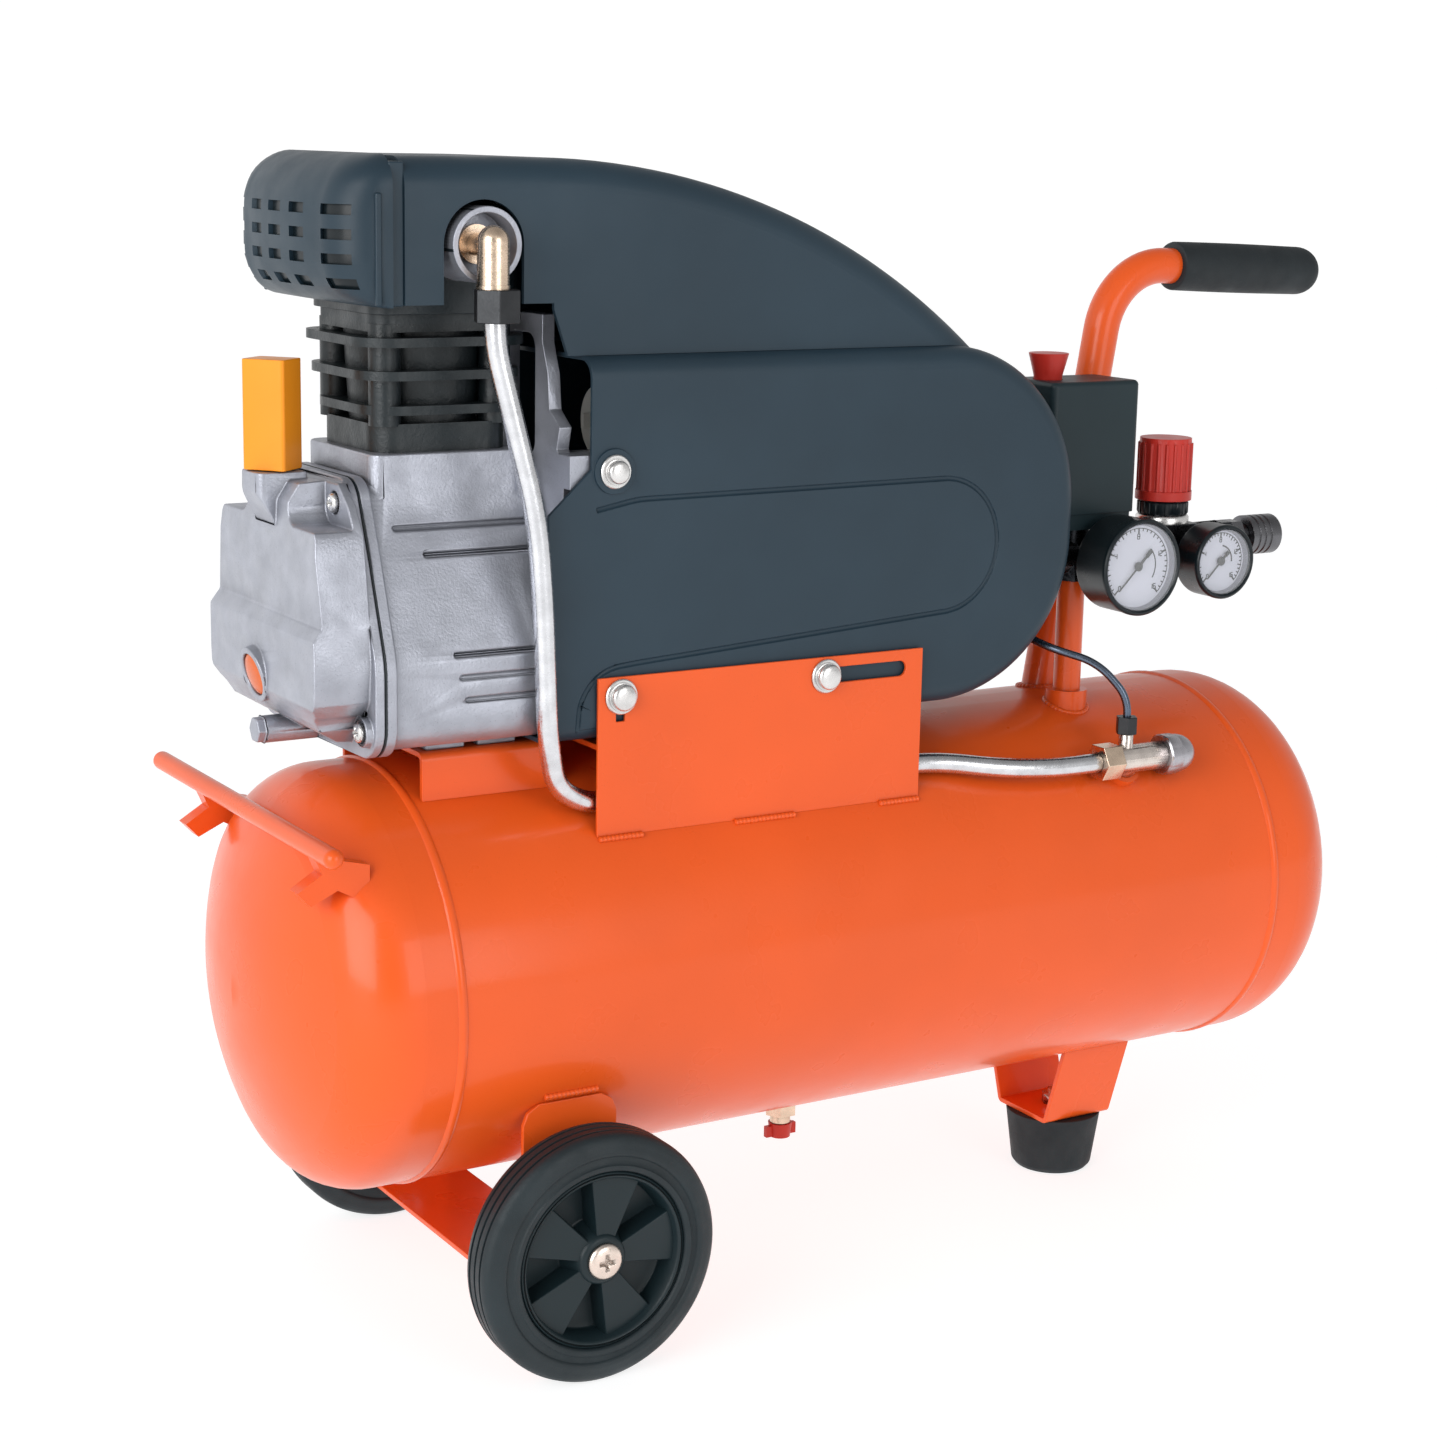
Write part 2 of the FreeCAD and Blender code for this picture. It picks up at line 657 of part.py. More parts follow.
def head_bolt_places():
    return [(CYL_X + sx * 30.0, sy * 30.0) for sx in (-1, 1) for sy in (-1, 1)]


def head_bolt_holes(r):
    return [rod((x, y, 450), (x, y, 610), r) for x, y in head_bolt_places()]


def cylinder():
    fins = [rounded_box(CYL_X - w, CYL_X + w, -w, w, z, z + 4.5, 20)
            for z, w in ((519.2, 46), (502.8, 44), (485.6, 41))]
    core = cone((CYL_X, 0, 480), (CYL_X, 0, CYL_TOP), 33, 36)
    base = rounded_box(CYL_X - 37, CYL_X + 37, -37, 37, PAD_TOP, 481, 14)
    lugs = [rod((x, y, 480), (x, y, CYL_TOP), 8.0) for x, y in head_bolt_places()]
    top = rounded_box(CYL_X - 38, CYL_X + 38, -38, 38, 526, CYL_TOP, 10)
    sleeve = rod((CYL_X, 0, 446), (CYL_X, 0, PAD_TOP), 28.5)
    body = fuse([core, base, top, sleeve] + fins + lugs)
    return cut(body, [rod((CYL_X, 0, 440), (CYL_X, 0, 540), BORE_R)] + head_bolt_holes(3.3))


def valve_plate():
    """Steel plate with inlet and outlet ports and a thin reed strip over each."""
    z = CYL_TOP + 0.8
    plate = rounded_box(CYL_X - 38, CYL_X + 38, -38, 38, z, z + 4, 10)
    ports = [rod((CYL_X + s * 9, 0, z - 1), (CYL_X + s * 9, 0, z + 5), 4.0) for s in (-1, 1)]
    plate = cut(plate, ports + head_bolt_holes(3.4))
    outlet_reed = box(CYL_X + 3, CYL_X + 15, -18, 18, z + 4, z + 4.6)
    return plate.fuse(outlet_reed).removeSplitter()


def head():
    z = CYL_TOP + 4.8
    block = rounded_box(CYL_X - 40, CYL_X + 40, -42, 42, z, 566, 10)
    fins = [box(CYL_X - 38 + 10.4 * i, CYL_X - 34 + 10.4 * i, -40, 40, 560, HEAD_TOP)
            for i in range(8)]
    boss = rod((BOSS_X, -72, BOSS_Z), (BOSS_X, 0, BOSS_Z), 18.5)
    body = fuse([block, boss] + fins)
    inlet = box(CYL_X - 34, CYL_X - 2, -20, 20, z - 1, 556)
    outlet = box(CYL_X + 2, CYL_X + 20, -20, 20, z - 1, 556)
    passage = rod((BOSS_X, -80, BOSS_Z), (BOSS_X, -20, BOSS_Z), 7)
    sink = rod((BOSS_X, -80, BOSS_Z), (BOSS_X, -57, BOSS_Z), 15.5)
    drop = box(-248, -240, -20, -10, 550, 572)
    mouth = rod((-300, 8, 548), (-285, 8, 548), 9)
    return cut(body, [inlet, outlet, passage, sink, drop, mouth] + head_bolt_holes(3.4))


def pump_bolts():
    """Four head studs with nuts and the four crankcase cover screws."""
    studs = []
    for x, y in head_bolt_places():
        studs.append(fuse([rod((x, y, 455), (x, y, 596), 3.2), hexagon((x, y, 588.2), (x, y, 595), 11)]))
    screws = []
    for y, z in case_screw_places():
        shank = rod((-314, y, z), (-298, y, z), 2.4)
        screws.append(fuse([shank, rod((-319, y, z), (-314, y, z), 5.0)]))
    return group(studs + screws)


def guard_form(inset, back):
    """Front cap as side profile, plan and end outline crossed; inset gives the inside."""
    i = inset
    h = 70.0 - i
    front = -329.5 + i
    side = [(back, 540 - 2 * i), (front, 540 - 2 * i), (front, GUARD_TOP - i), (back, GUARD_TOP - i)]
    plan = [(back, -h), (front + 3.0, -h), (front, 0), (front + 3.0, h), (back, h)]
    end = [(-h, 520), (h, 520), (h, GUARD_TOP - i), (-h, GUARD_TOP - i)]
    body = prism_y(side, [0, 24 - i, 28 - i, 0], -80, 80).common(
        prism_z(plan, [0, 24 - i, 300, 24 - i, 0], 500, 620))
    return body.common(prism_x(end, [0, 0, 15 - i, 15 - i], -340, -280))


def head_guard():
    """Slotted front cap over the intake side of the head, bowed outwards in plan."""
    rib = box(-312.5, -308.5, -70.8, 70.8, 541, 597)
    cap = guard_form(0.0, -299.0).fuse(rib).removeSplitter()
    inner = guard_form(PLASTIC, -290.0)
    slots = []
    for row in range(4):
        z = 551.5 + 11.0 * row
        for y in (-57.0, -29.0, -1.0, 27.0, 55.0):
            slots.append(rounded_bar(-340, -312, y - 9.5, y + 9.5, z - 2.4, z + 2.4, 2.2))
    return cut(cap, [inner] + slots)


def upper_shroud():
    """Long air duct over head and motor, arched down to the motor cover at its right end."""
    def form(inset, floor, left, right, radius):
        r = SHROUD_ARC_R - inset
        centre_z = SHROUD_TOP - SHROUD_ARC_R
        top = SHROUD_TOP - inset
        drop = math.sqrt(r ** 2 - (right - SHROUD_ARC_X) ** 2)
        half = math.asin((right - SHROUD_ARC_X) / r) / 2
        middle = (SHROUD_ARC_X + r * math.sin(half), centre_z + r * math.cos(half))
        h = SHROUD_HALF - inset
        y = -h
        start = Vector(SHROUD_ARC_X, y, top)
        end = Vector(right, y, centre_z + drop)
        arc = Part.Arc(start, Vector(middle[0], y, middle[1]), end).toShape()
        points = [Vector(right, y, floor), Vector(left, y, floor), Vector(left, y, top)]
        lines = [end] + points + [start]
        edges = [arc] + [Part.LineSegment(a, b).toShape() for a, b in zip(lines, lines[1:])]
        block = Part.Face(Part.Wire(edges)).extrude(Vector(0, 2 * h, 0))
        rounds = [e for e in block.Edges
                  if e.BoundBox.YLength < 0.01 and e.BoundBox.XLength > 60 and e.BoundBox.ZMax > top - 3]
        return block.makeFillet(radius, rounds)

    outer = form(0.0, 460, -292.0, 52.0, 15.0)
    neck = rounded_bar(-302, -290, -65.0, 65.0, 520, GUARD_TOP - PLASTIC - 2.0, 12.0)
    neck = neck.cut(box(-305, -280, -80, 80, 500, 541.5))
    outer = outer.fuse(neck)
    inner = form(PLASTIC, 440, -310.0, 47.0, 12.5)
    front = box(-300, -212, -90, 90, 450, 541)
    step = prism_y([(-213, 541), (-213, 450), (-195, 450), (-195, COVER_TOP), (-204, COVER_TOP)],
                   [0] * 5, -90, 90)
    notch = prism_y([(-271.7, 530), (-228.7, 530), (-228.7, 591), (-271.7, 591)],
                    [0, 0, 21.4, 21.4], -90, -40)
    ledge = prism_y(cover_points(0.0), cover_radii(0.0), -COVER_HALF - 5, COVER_HALF + 5)
    return cut(outer, [inner, front, step, notch, ledge])


# ---------------------------------------------------------------- motor cover
def cover_points(inset):
    """Side outline of the motor cover: stepped left edge and a round right end."""
    i = inset
    return [(-219 - i, COVER_BOTTOM + i), (COVER_RIGHT - i, COVER_BOTTOM + i),
            (COVER_RIGHT - i, COVER_TOP - i), (-195 - i, COVER_TOP - i),
            (-195 - i, 459), (-219 - i, 437)]


def cover_radii(inset):
    r = COVER_END_R - inset
    return [0, r, r, 0, 0, 0]


def panel_line():
    """Shallow groove pressed round the flat panel on the near side."""
    points = [(-192, 438.5), (-168, 443), (22, 444.5), (58, 444.5), (58, 371.5),
              (22, 371.5), (-168, 359), (-200, 356), (-202, 322)]
    radii = [0, 60, 0, 36, 36, 0, 0, 26, 0]
    path = Part.Wire(path_edges([(x, -COVER_HALF, z) for x, z in points], radii))
    start = Vector(points[0][0], -COVER_HALF, points[0][1])
    direction = Vector(points[1][0] - points[0][0], 0, points[1][1] - points[0][1])
    ring = Part.Wire(Part.Circle(start, direction, 1.4).toShape())
    return path.makePipeShell([ring], True, False)


def lower_cover():
    outer = prism_y(cover_points(0.0), cover_radii(0.0), -COVER_HALF, COVER_HALF)
    rounds = [e for e in outer.Edges
              if e.BoundBox.YLength < 0.01 and (e.BoundBox.XMax > -190 or e.BoundBox.ZMax < COVER_BOTTOM + 1)]
    outer = outer.makeFillet(11.0, rounds)
    inner = prism_y(cover_points(PLASTIC), cover_radii(PLASTIC),
                    -COVER_HALF + PLASTIC, COVER_HALF - PLASTIC)
    long_rounds = [e for e in inner.Edges
                   if e.BoundBox.YLength < 0.01 and (e.BoundBox.XMax > -190 or e.BoundBox.ZMax < 324)]
    inner = inner.makeFillet(9.0, long_rounds)
    pads = [rod((-182.5, -78.5, 457.8), (-182.5, -75, 457.8), 11.5)]
    body = outer.fuse(pads + [mirrored(pads[0])]).removeSplitter()
    duct = box(-160, 20, -50, 50, 505, 520)
    vents = [box(-20 + 14 * i, -13 + 14 * i, 60, 90, 372, 442) for i in range(7)]
    floor_vents = [box(-10 + 14 * i, -3 + 14 * i, -40, 40, 310, 330) for i in range(5)]
    holes = [rod((x, -90, z), (x, 90, z), r) for x, z, r in
             ((BOLT_LEFT, BOLT_Z, 4.3), (BOLT_RIGHT, BOLT_Z, 4.3), (-182.5, 457.8, 3.6))]
    return cut(body, [inner, duct, panel_line()] + vents + floor_vents + holes)


# ---------------------------------------------------------------- crank train and motor
def crankshaft():
    """Shaft with half-round counterweight, pin stub at the top of its turn, and rotor core."""
    shaft = rod((-236, 0, AXIS_Z), (-12, 0, AXIS_Z), 8.5)
    journal = rod((-236, 0, AXIS_Z), (-233, 0, AXIS_Z), 13.0)
    web = rounded_bar(-244, -235, -13, 13, AXIS_Z - 20, AXIS_Z + 29, 10)
    weight = rod((-244, 0, AXIS_Z), (-235, 0, AXIS_Z), 36)
    weight = weight.cut(box(-250, -230, -40, 40, AXIS_Z - 2, AXIS_Z + 40))
    pin = rod((-247.5, 0, AXIS_Z + THROW), (-240, 0, AXIS_Z + THROW), 8.0)
    rotor = pipe((-168, 0, AXIS_Z), (-82, 0, AXIS_Z), 34.6, 8.5)
    return group([fuse([shaft, journal, web, weight, pin]), rotor])


def main_bearings():
    left = pipe((-231, 0, AXIS_Z), (-217, 0, AXIS_Z), 17.0, 8.55)
    right = pipe((-59, 0, AXIS_Z), (-48, 0, AXIS_Z), 17.0, 8.55)
    return group([left, right])


def connecting_rod():
    top = AXIS_Z + THROW + ROD_LENGTH
    low = AXIS_Z + THROW
    x0 = CYL_X - 7
    x1 = CYL_X + 7
    shank = prism_x([(-7.5, low + 12), (7.5, low + 12), (5.5, top - 6), (-5.5, top - 6)],
                    [0] * 4, x0 + 3, x1 - 3)
    big = rod((x0, 0, low), (x1, 0, low), 16)
    small = rod((x0, 0, top), (x1, 0, top), 9.5)
    holes = [rod((x0 - 1, 0, low), (x1 + 1, 0, low), 9.0), rod((x0 - 1, 0, top), (x1 + 1, 0, top), 5.05)]
    return cut(fuse([shank, big, small]), holes)


def piston():
    top = AXIS_Z + THROW + ROD_LENGTH + 26.0
    body = rod((CYL_X, 0, top - 42), (CYL_X, 0, top), PISTON_R)
    hollow = rod((CYL_X, 0, top - 43), (CYL_X, 0, top - 9), 19.0)
    boss = box(CYL_X + 8, CYL_X + 20, -8, 8, top - 34, top - 9)
    boss = boss.common(rod((CYL_X, 0, top - 42), (CYL_X, 0, top - 8), 19.5))
    bosses = [boss, boss.mirror(Vector(CYL_X, 0, 0), X)]
    body = fuse([body.cut(hollow)] + bosses)
    grooves = [pipe((CYL_X, 0, z), (CYL_X, 0, z + 2.1), PISTON_R + 1, 21.4) for z in (top - 6, top - 11)]
    pin = rod((CYL_X - 30, 0, top - 26), (CYL_X + 30, 0, top - 26), 5.05)
    return cut(body, grooves + [pin])


def piston_pin_and_rings():
    top = AXIS_Z + THROW + ROD_LENGTH + 26.0
    pin = pipe((CYL_X - 21, 0, top - 26), (CYL_X + 21, 0, top - 26), 5.0, 2.5)
    rings = [pipe((CYL_X, 0, z), (CYL_X, 0, z + 2.0), 23.57, 21.5) for z in (top - 5.95, top - 10.95)]
    return group([pin] + rings)


def motor_flange():
    """Cast drive-end bell of the motor with an open baffle standing up beside the cylinder."""
    plate = rod((-206, 0, AXIS_Z), (-196, 0, AXIS_Z), 58)
    edge = [(44, 534), (44, 520), (50, 505), (52, 487), (63, 479), (60, 468), (68, 459), (67, 440), (56, 415)]
    baffle = edge + [(-y, z) for y, z in reversed(edge)]
    tower = prism_x(baffle, [0] * 18, -206, -199)
    ribs = [box(-206, -198, y - 2, y + 2, 450, 532) for y in (-40, 0, 40)]
    windows = [rounded_bar(-210, -190, y - 15, y + 15, 462, 524, 8) for y in (-21, 21)]
    lugs = [box(-206, -171, -74.3, -50, BOLT_Z - 8, BOLT_Z + 8),
            box(-206, -196, -60, -30, BOLT_Z - 8, BOLT_Z + 8),
            box(-206, -175, -74.3, -50, 449, 466)]
    legs = [rod((-200, 60 * math.cos(a), AXIS_Z + 60 * math.sin(a)),
                (-170, 60 * math.cos(a), AXIS_Z + 60 * math.sin(a)), 4.0)
            for a in (math.radians(45 + 90 * i) for i in range(4))]
    legs = [leg.common(rod((-206, 0, AXIS_Z), (-170, 0, AXIS_Z), 64)) for leg in legs]
    body = fuse([plate, cut(tower, windows)] + ribs + legs + [s for lug in lugs for s in both_sides(lug)])
    vents = []
    for i in range(6):
        a = math.radians(60 * i)
        y = 40 * math.cos(a)
        z = AXIS_Z + 40 * math.sin(a)
        vents.append(rod((-210, y, z), (-190, y, z), 9.0))
    holes = [rod((BOLT_LEFT, s * 60, BOLT_Z), (BOLT_LEFT, s * 80, BOLT_Z), 3.95) for s in (-1, 1)]
    holes += [rod((-182.5, s * 62, 457.8), (-182.5, s * 80, 457.8), 3.35) for s in (-1, 1)]
    bore = rod((-210, 0, AXIS_Z), (-190, 0, AXIS_Z), 10.0)
    return cut(body, vents + holes + [bore])


def stator():
    ring = pipe((-170, 0, AXIS_Z), (-80, 0, AXIS_Z), 64, 35)
    notches = []
    for i in range(4):
        a = math.radians(90 * i)
        y = 66 * math.cos(a)
        z = AXIS_Z + 66 * math.sin(a)
        notches.append(rod((-172, y, z), (-78, y, z), 5.0))
    return cut(ring, notches)


def windings():
    """Rounded copper end turns on both faces of the stator."""
    rings = []
    for x0, x1 in ((-188, -170), (-80, -62.5)):
        ring = pipe((x0, 0, AXIS_Z), (x1, 0, AXIS_Z), 54, 38)
        far = x0 if x0 < -100 else x1
        rounds = [e for e in ring.Edges if abs(e.BoundBox.XMin - far) < 0.1 and e.BoundBox.XLength < 0.1]
        rings.append(ring.makeFillet(4.0, rounds))
    return rings


def wound_stator():
    return group([stator()] + windings())


def end_bell():
    plate = rod((-60, 0, AXIS_Z), (-48, 0, AXIS_Z), 58)
    hollow = pipe((-61, 0, AXIS_Z), (-54, 0, AXIS_Z), 55, 26)
    legs = [rod((-80, 60 * math.cos(a), AXIS_Z + 60 * math.sin(a)),
                (-54, 60 * math.cos(a), AXIS_Z + 60 * math.sin(a)), 4.0)
            for a in (math.radians(45 + 90 * i) for i in range(4))]
    legs = [leg.common(rod((-80, 0, AXIS_Z), (-48, 0, AXIS_Z), 64)) for leg in legs]
    lug = fuse([box(-62, -46.5, -74.3, -48, BOLT_Z - 8, BOLT_Z + 8),
                box(-60, -48, -60, -30, BOLT_Z - 8, BOLT_Z + 8)])
    vents = []
    for i in range(8):
        a = math.radians(45 * i + 22.5)
        y = 40 * math.cos(a)
        z = AXIS_Z + 40 * math.sin(a)
        vents.append(rod((-70, y, z), (-40, y, z), 9.0))
    hole = rod((BOLT_RIGHT, -80, BOLT_Z), (BOLT_RIGHT, 80, BOLT_Z), 3.95)
    hole = hole.cut(box(BOLT_RIGHT - 9, BOLT_RIGHT + 9, -60, 60, BOLT_Z - 9, BOLT_Z + 9))
    seat = rod((-59, 0, AXIS_Z), (-40, 0, AXIS_Z), 17.0)
    through = rod((-70, 0, AXIS_Z), (-40, 0, AXIS_Z), 10.0)
    return cut(fuse([plate] + both_sides(lug)).cut(hollow).fuse(legs).removeSplitter(),
               vents + [hole, seat, through])


def fan():
    hub = pipe((-40, 0, AXIS_Z), (-16, 0, AXIS_Z), 16, 8.5)
    disc = pipe((-19, 0, AXIS_Z), (-16, 0, AXIS_Z), 57, 10)
    blades = []
    for i in range(8):
        blade = box(-38, -17, 12, 56, AXIS_Z - 1.2, AXIS_Z + 1.2)
        blade.rotate(Vector(0, 0, AXIS_Z), X, 45 * i)
        blades.append(blade)
    return fuse([hub, disc] + blades)


def capacitor():
    can = rod((-150, 0, 474), (-84, 0, 474), 19)
    foot = box(-140, -94, -12, 12, 448, 462)
    space = rod((-175, 0, AXIS_Z), (-75, 0, AXIS_Z), 64.0)
    spade = [box(-156, -149, y - 1.5, y + 1.5, 470, 478) for y in (-6, 6)]
    return fuse([can, foot] + spade).cut(space)


# ---------------------------------------------------------------- pipework and valves
def discharge_elbow():
    """Brass nut and ring sunk in the head boss and the elbow body that turns down to the pipe."""
    x = -251.6
    ring = rod((BOSS_X, -60, BOSS_Z), (BOSS_X, -57, BOSS_Z), 9.5)
    stub = rod((BOSS_X, -80.5, BOSS_Z), (BOSS_X, -49, BOSS_Z), 5.6)
    leg = fuse([rod((x, -80.5, 549), (x, -80.5, BOSS_Z + 2), 7.8),
                Part.makeSphere(7.8, Vector(x, -80.5, BOSS_Z + 2))])
    collar = rod((x, -80.5, 549), (x, -80.5, 551), 8.2)
    body = fuse([ring, stub, leg, collar])
    return body.cut(rod((BOSS_X, -78, BOSS_Z), (BOSS_X, -40, BOSS_Z), 4.0))


def black_nuts():
    pipe_nut = hexagon((-249.5, -80.5, 533), (-249.5, -80.5, 549), 21, 10.0)
    pipe_nut = pipe_nut.cut(rod((-250.5, -80.5, 530), (-250.5, -80.5, 545), PIPE_R))
    thin_nut = hexagon((146, VALVE_Y, 294), (146, VALVE_Y, 304), 11)
    thin_nut = thin_nut.cut(rod((146, VALVE_Y, 290), (146, VALVE_Y, 305), THIN_R))
    return group([pipe_nut, thin_nut])


DISCHARGE_ROUTE = [
    (-250.5, -80.5, 545), (-250.5, -80.5, 522), (-229, -83.5, 437), (-225.5, -84, 395),
    (-222.5, -83.5, 328), (-214.5, -77, 299), (-195, -71.1, 287.0), (-138, -71.4, 286.8),
    (-80, -71.1, 286.7), (-26, -71.3, 286.8), (25, -71.4, 286.6), (64, -84, 281), (99, -89, 279),
    (129, -89, 279.0),
]
THIN_ROUTE = [
    (146, -89, 294), (146, -89, 315), (133, -77, 334), (113, -58, 341),
    (105, -42, 347), (113, -29, 360), (128, -25, 380), (128, -25, 403),
]


def routed_pipe(points, r, bore):
    radii = largest_radii(points)
    tube, length = swept_tube(points, radii, r, bore)
    expected = math.pi * (r ** 2 - bore ** 2) * length
    print("radii", [round(v, 1) for v in radii[1:-1]], "length", round(length, 1),
          "volume ratio", round(tube.Volume / expected, 4))
    return tube


def discharge_pipe():
    points = DISCHARGE_ROUTE[:-1] + [(129.0, VALVE_Y, VALVE_Z)]
    return routed_pipe(points, PIPE_R, PIPE_R - 1.2)


def unloader_pipe():
    return routed_pipe(THIN_ROUTE, THIN_R, THIN_R - 0.8)


def check_valve_body():
    """Brass body along the pipe, its leg into the tank boss, and the pipe nut."""
    base = Vector(150.0, 0, TANK_Z) + valve_direction() * 116.0
    leg = Part.makeCylinder(7.5, 8.0, base, valve_direction())
    thread = Part.makeCylinder(5.9, 8.0, base - valve_direction() * 8.0, valve_direction())
    main = rod((138, VALVE_Y, VALVE_Z), (172, VALVE_Y, VALVE_Z), 8.0)
    nut = hexagon((126, VALVE_Y, VALVE_Z), (139, VALVE_Y, VALVE_Z), 19)
    stub = rod((146, VALVE_Y, VALVE_Z), (146, VALVE_Y, 294), 4.2)
    body = fuse([leg, thread, main, nut, stub])
    bores = [rod((120, VALVE_Y, VALVE_Z), (129, VALVE_Y, VALVE_Z), PIPE_R),
             rod((129, VALVE_Y, VALVE_Z), (160, VALVE_Y, VALVE_Z), 4.0)]
    return cut(body, bores)


def check_valve_cap():
    flats = hexagon((172, VALVE_Y, VALVE_Z), (185, VALVE_Y, VALVE_Z), 21.2)
    dome = Part.makeSphere(11.0, Vector(184, VALVE_Y, VALVE_Z))
    dome = dome.common(box(184, 200, VALVE_Y - 20, VALVE_Y + 20, VALVE_Z - 20, VALVE_Z + 20))
    return fuse([flats, dome])


def check_valve():
    return group([check_valve_body(), check_valve_cap()])


def manifold():
    main = rod((136, LINE_Y, LINE_Z), (200, LINE_Y, LINE_Z), 11)
    cap = hexagon((132, LINE_Y, LINE_Z), (138, LINE_Y, LINE_Z), 19)
    lower = hexagon((RISER_X, LINE_Y, 374), (RISER_X, LINE_Y, 384), 22)
    upper = rod((RISER_X, LINE_Y, LINE_Z), (RISER_X, LINE_Y, 405), 9)
    spur = rod((GAUGE_L[0], -46, GAUGE_L[1]), (GAUGE_L[0], LINE_Y, GAUGE_L[1]), 6.5)
    back = rod((144, LINE_Y, LINE_Z), (144, -13, LINE_Z), 6.5)
    return fuse([main, cap, lower, upper, spur, back])


def safety_valve():
    body = fuse([
        hexagon((144, -13, LINE_Z), (144, -6, LINE_Z), 13),
        rod((144, -6, LINE_Z), (144, 10, LINE_Z), 5.5),
    ])
    return body.cut(rod((144, -8, LINE_Z), (144, 12, LINE_Z), 2.1))


def safety_ring():
    """Pull ring and its stem on the relief valve."""
    stem = rod((144, -6, LINE_Z), (144, 16, LINE_Z), 2.0)
    ring = Part.makeTorus(8.0, 1.2, Vector(144, 23.5, LINE_Z), X)
    return stem.fuse(ring).removeSplitter()


# ---------------------------------------------------------------- pressure switch
def switch_base():
    """Base plate with the threaded neck below and two cable glands at the back."""
    plate = rounded_box(119.5, 179.5, -43.5, -3.5, 405, 414, 3)
    port = hexagon((128, -25, 405), (128, -25, 399), 9)
    glands = []
    for x in (130.0, 150.0):
        glands += [box(x - 8, x + 8, -6, -3.5, 406, 424),
                   hexagon((x, -3.6, 417), (x, 2.5, 417), 14),
                   cone((x, 2.5, 417), (x, 12, 417), 6.5, 4.5)]
    bores = [rod((x, -6, 417), (x, 20, 417), 3.4) for x in (130.0, 150.0)]
    body = cut(fuse([plate, port] + glands), bores)
    thin = rod((128, -25, 396), (128, -25, 405), THIN_R)
    return cut(body, [thin])


def switch_cover():
    outer = rounded_box(118, 181, -45, -2, 414, 490, 4)
    rounds = [e for e in outer.Edges if e.BoundBox.ZMin > 489]
    outer = outer.makeFillet(3.0, rounds)
    inner = rounded_box(120, 179, -43, -4, 410, 488, 2)
    knob = rod((131, -22, 480), (131, -22, 500), 8.6)
    glands = [box(x - 8.3, x + 8.3, -4.5, -1, 410, 424.5) for x in (130.0, 150.0)]
    return cut(outer, [inner, knob] + glands)


def switch_knob():
    """Pull-up switch knob: waisted stem and a flared top."""
    stem = rod((131, -22, 470), (131, -22, 493), 8.2)
    flare = cone((131, -22, 492), (131, -22, 505), 8.2, 11.6)
    return fuse([stem, flare, rod((131, -22, 466), (131, -22, 471), 10)])


# ---------------------------------------------------------------- regulator, gauges and outlet
def regulator_body():
    block = rounded_box(200, 232, -44, -12, 374, 404, 5)
    bonnet = cone((REG_X, LINE_Y, 404), (REG_X, LINE_Y, 412), 15.5, 13.0)
    stem = rod((REG_X, LINE_Y, 412), (REG_X, LINE_Y, 440), 6.0)
    branch = fuse([rod((232, LINE_Y, 392), (258, LINE_Y, 392), 10),
                   hexagon((258, LINE_Y, 392), (266, LINE_Y, 392), 19)])
    spur = rod((GAUGE_S[0], -50, GAUGE_S[1]), (GAUGE_S[0], -40, GAUGE_S[1]), 5.5)
    return fuse([block, bonnet, stem, branch, spur]).cut(rod((255, LINE_Y, 392), (270, LINE_Y, 392), 5))


def regulator_knob():
    skirt = rod((REG_X, LINE_Y, 417.5), (REG_X, LINE_Y, 423), 16.6)
    body = rod((REG_X, LINE_Y, 423), (REG_X, LINE_Y, 454), 15.2)
    ribs = []
    for i in range(20):
        a = math.radians(18 * i)
        y = LINE_Y + 15.2 * math.sin(a)
        ribs.append(rod((REG_X + 15.2 * math.cos(a), y, 423), (REG_X + 15.2 * math.cos(a), y, 451), 1.0))
    knob = fuse([skirt, body] + ribs)
    return knob.cut(rod((REG_X, LINE_Y, 410), (REG_X, LINE_Y, 446), 6.08))


def gauge_case(centre, r, y_face, y_back):
    """Black cup with a raised rim, open towards -Y."""
    x, z = centre
    cup = rod((x, y_face, z), (x, y_back, z), r)
    cup = cup.cut(rod((x, y_face - 1, z), (x, y_face + 7, z), r - 2.6))
    neck = rod((x, y_back, z), (x, y_back + 4, z), r * 0.35)
    return cup.fuse(neck).removeSplitter()


def gauge_cases():
    large = gauge_case(GAUGE_L, 27.5, -78, -50)
    small = gauge_case(GAUGE_S, 21.5, -75, -54)
    return group([large, small])


def gauge_dials():
    large = rod((GAUGE_L[0], -72.5, GAUGE_L[1]), (GAUGE_L[0], -71, GAUGE_L[1]), 24.8)
    small = rod((GAUGE_S[0], -69.5, GAUGE_S[1]), (GAUGE_S[0], -68, GAUGE_S[1]), 18.8)
    large = large.cut(rod((GAUGE_L[0], -80, GAUGE_L[1]), (GAUGE_L[0], -70, GAUGE_L[1]), 1.3))
    small = small.cut(rod((GAUGE_S[0], -80, GAUGE_S[1]), (GAUGE_S[0], -67, GAUGE_S[1]), 1.3))
    return group([large, small])


def gauge_glasses():
    large = rod((GAUGE_L[0], -77.6, GAUGE_L[1]), (GAUGE_L[0], -76.2, GAUGE_L[1]), 24.8)
    small = rod((GAUGE_S[0], -74.6, GAUGE_S[1]), (GAUGE_S[0], -73.4, GAUGE_S[1]), 18.8)
    return group([large, small])


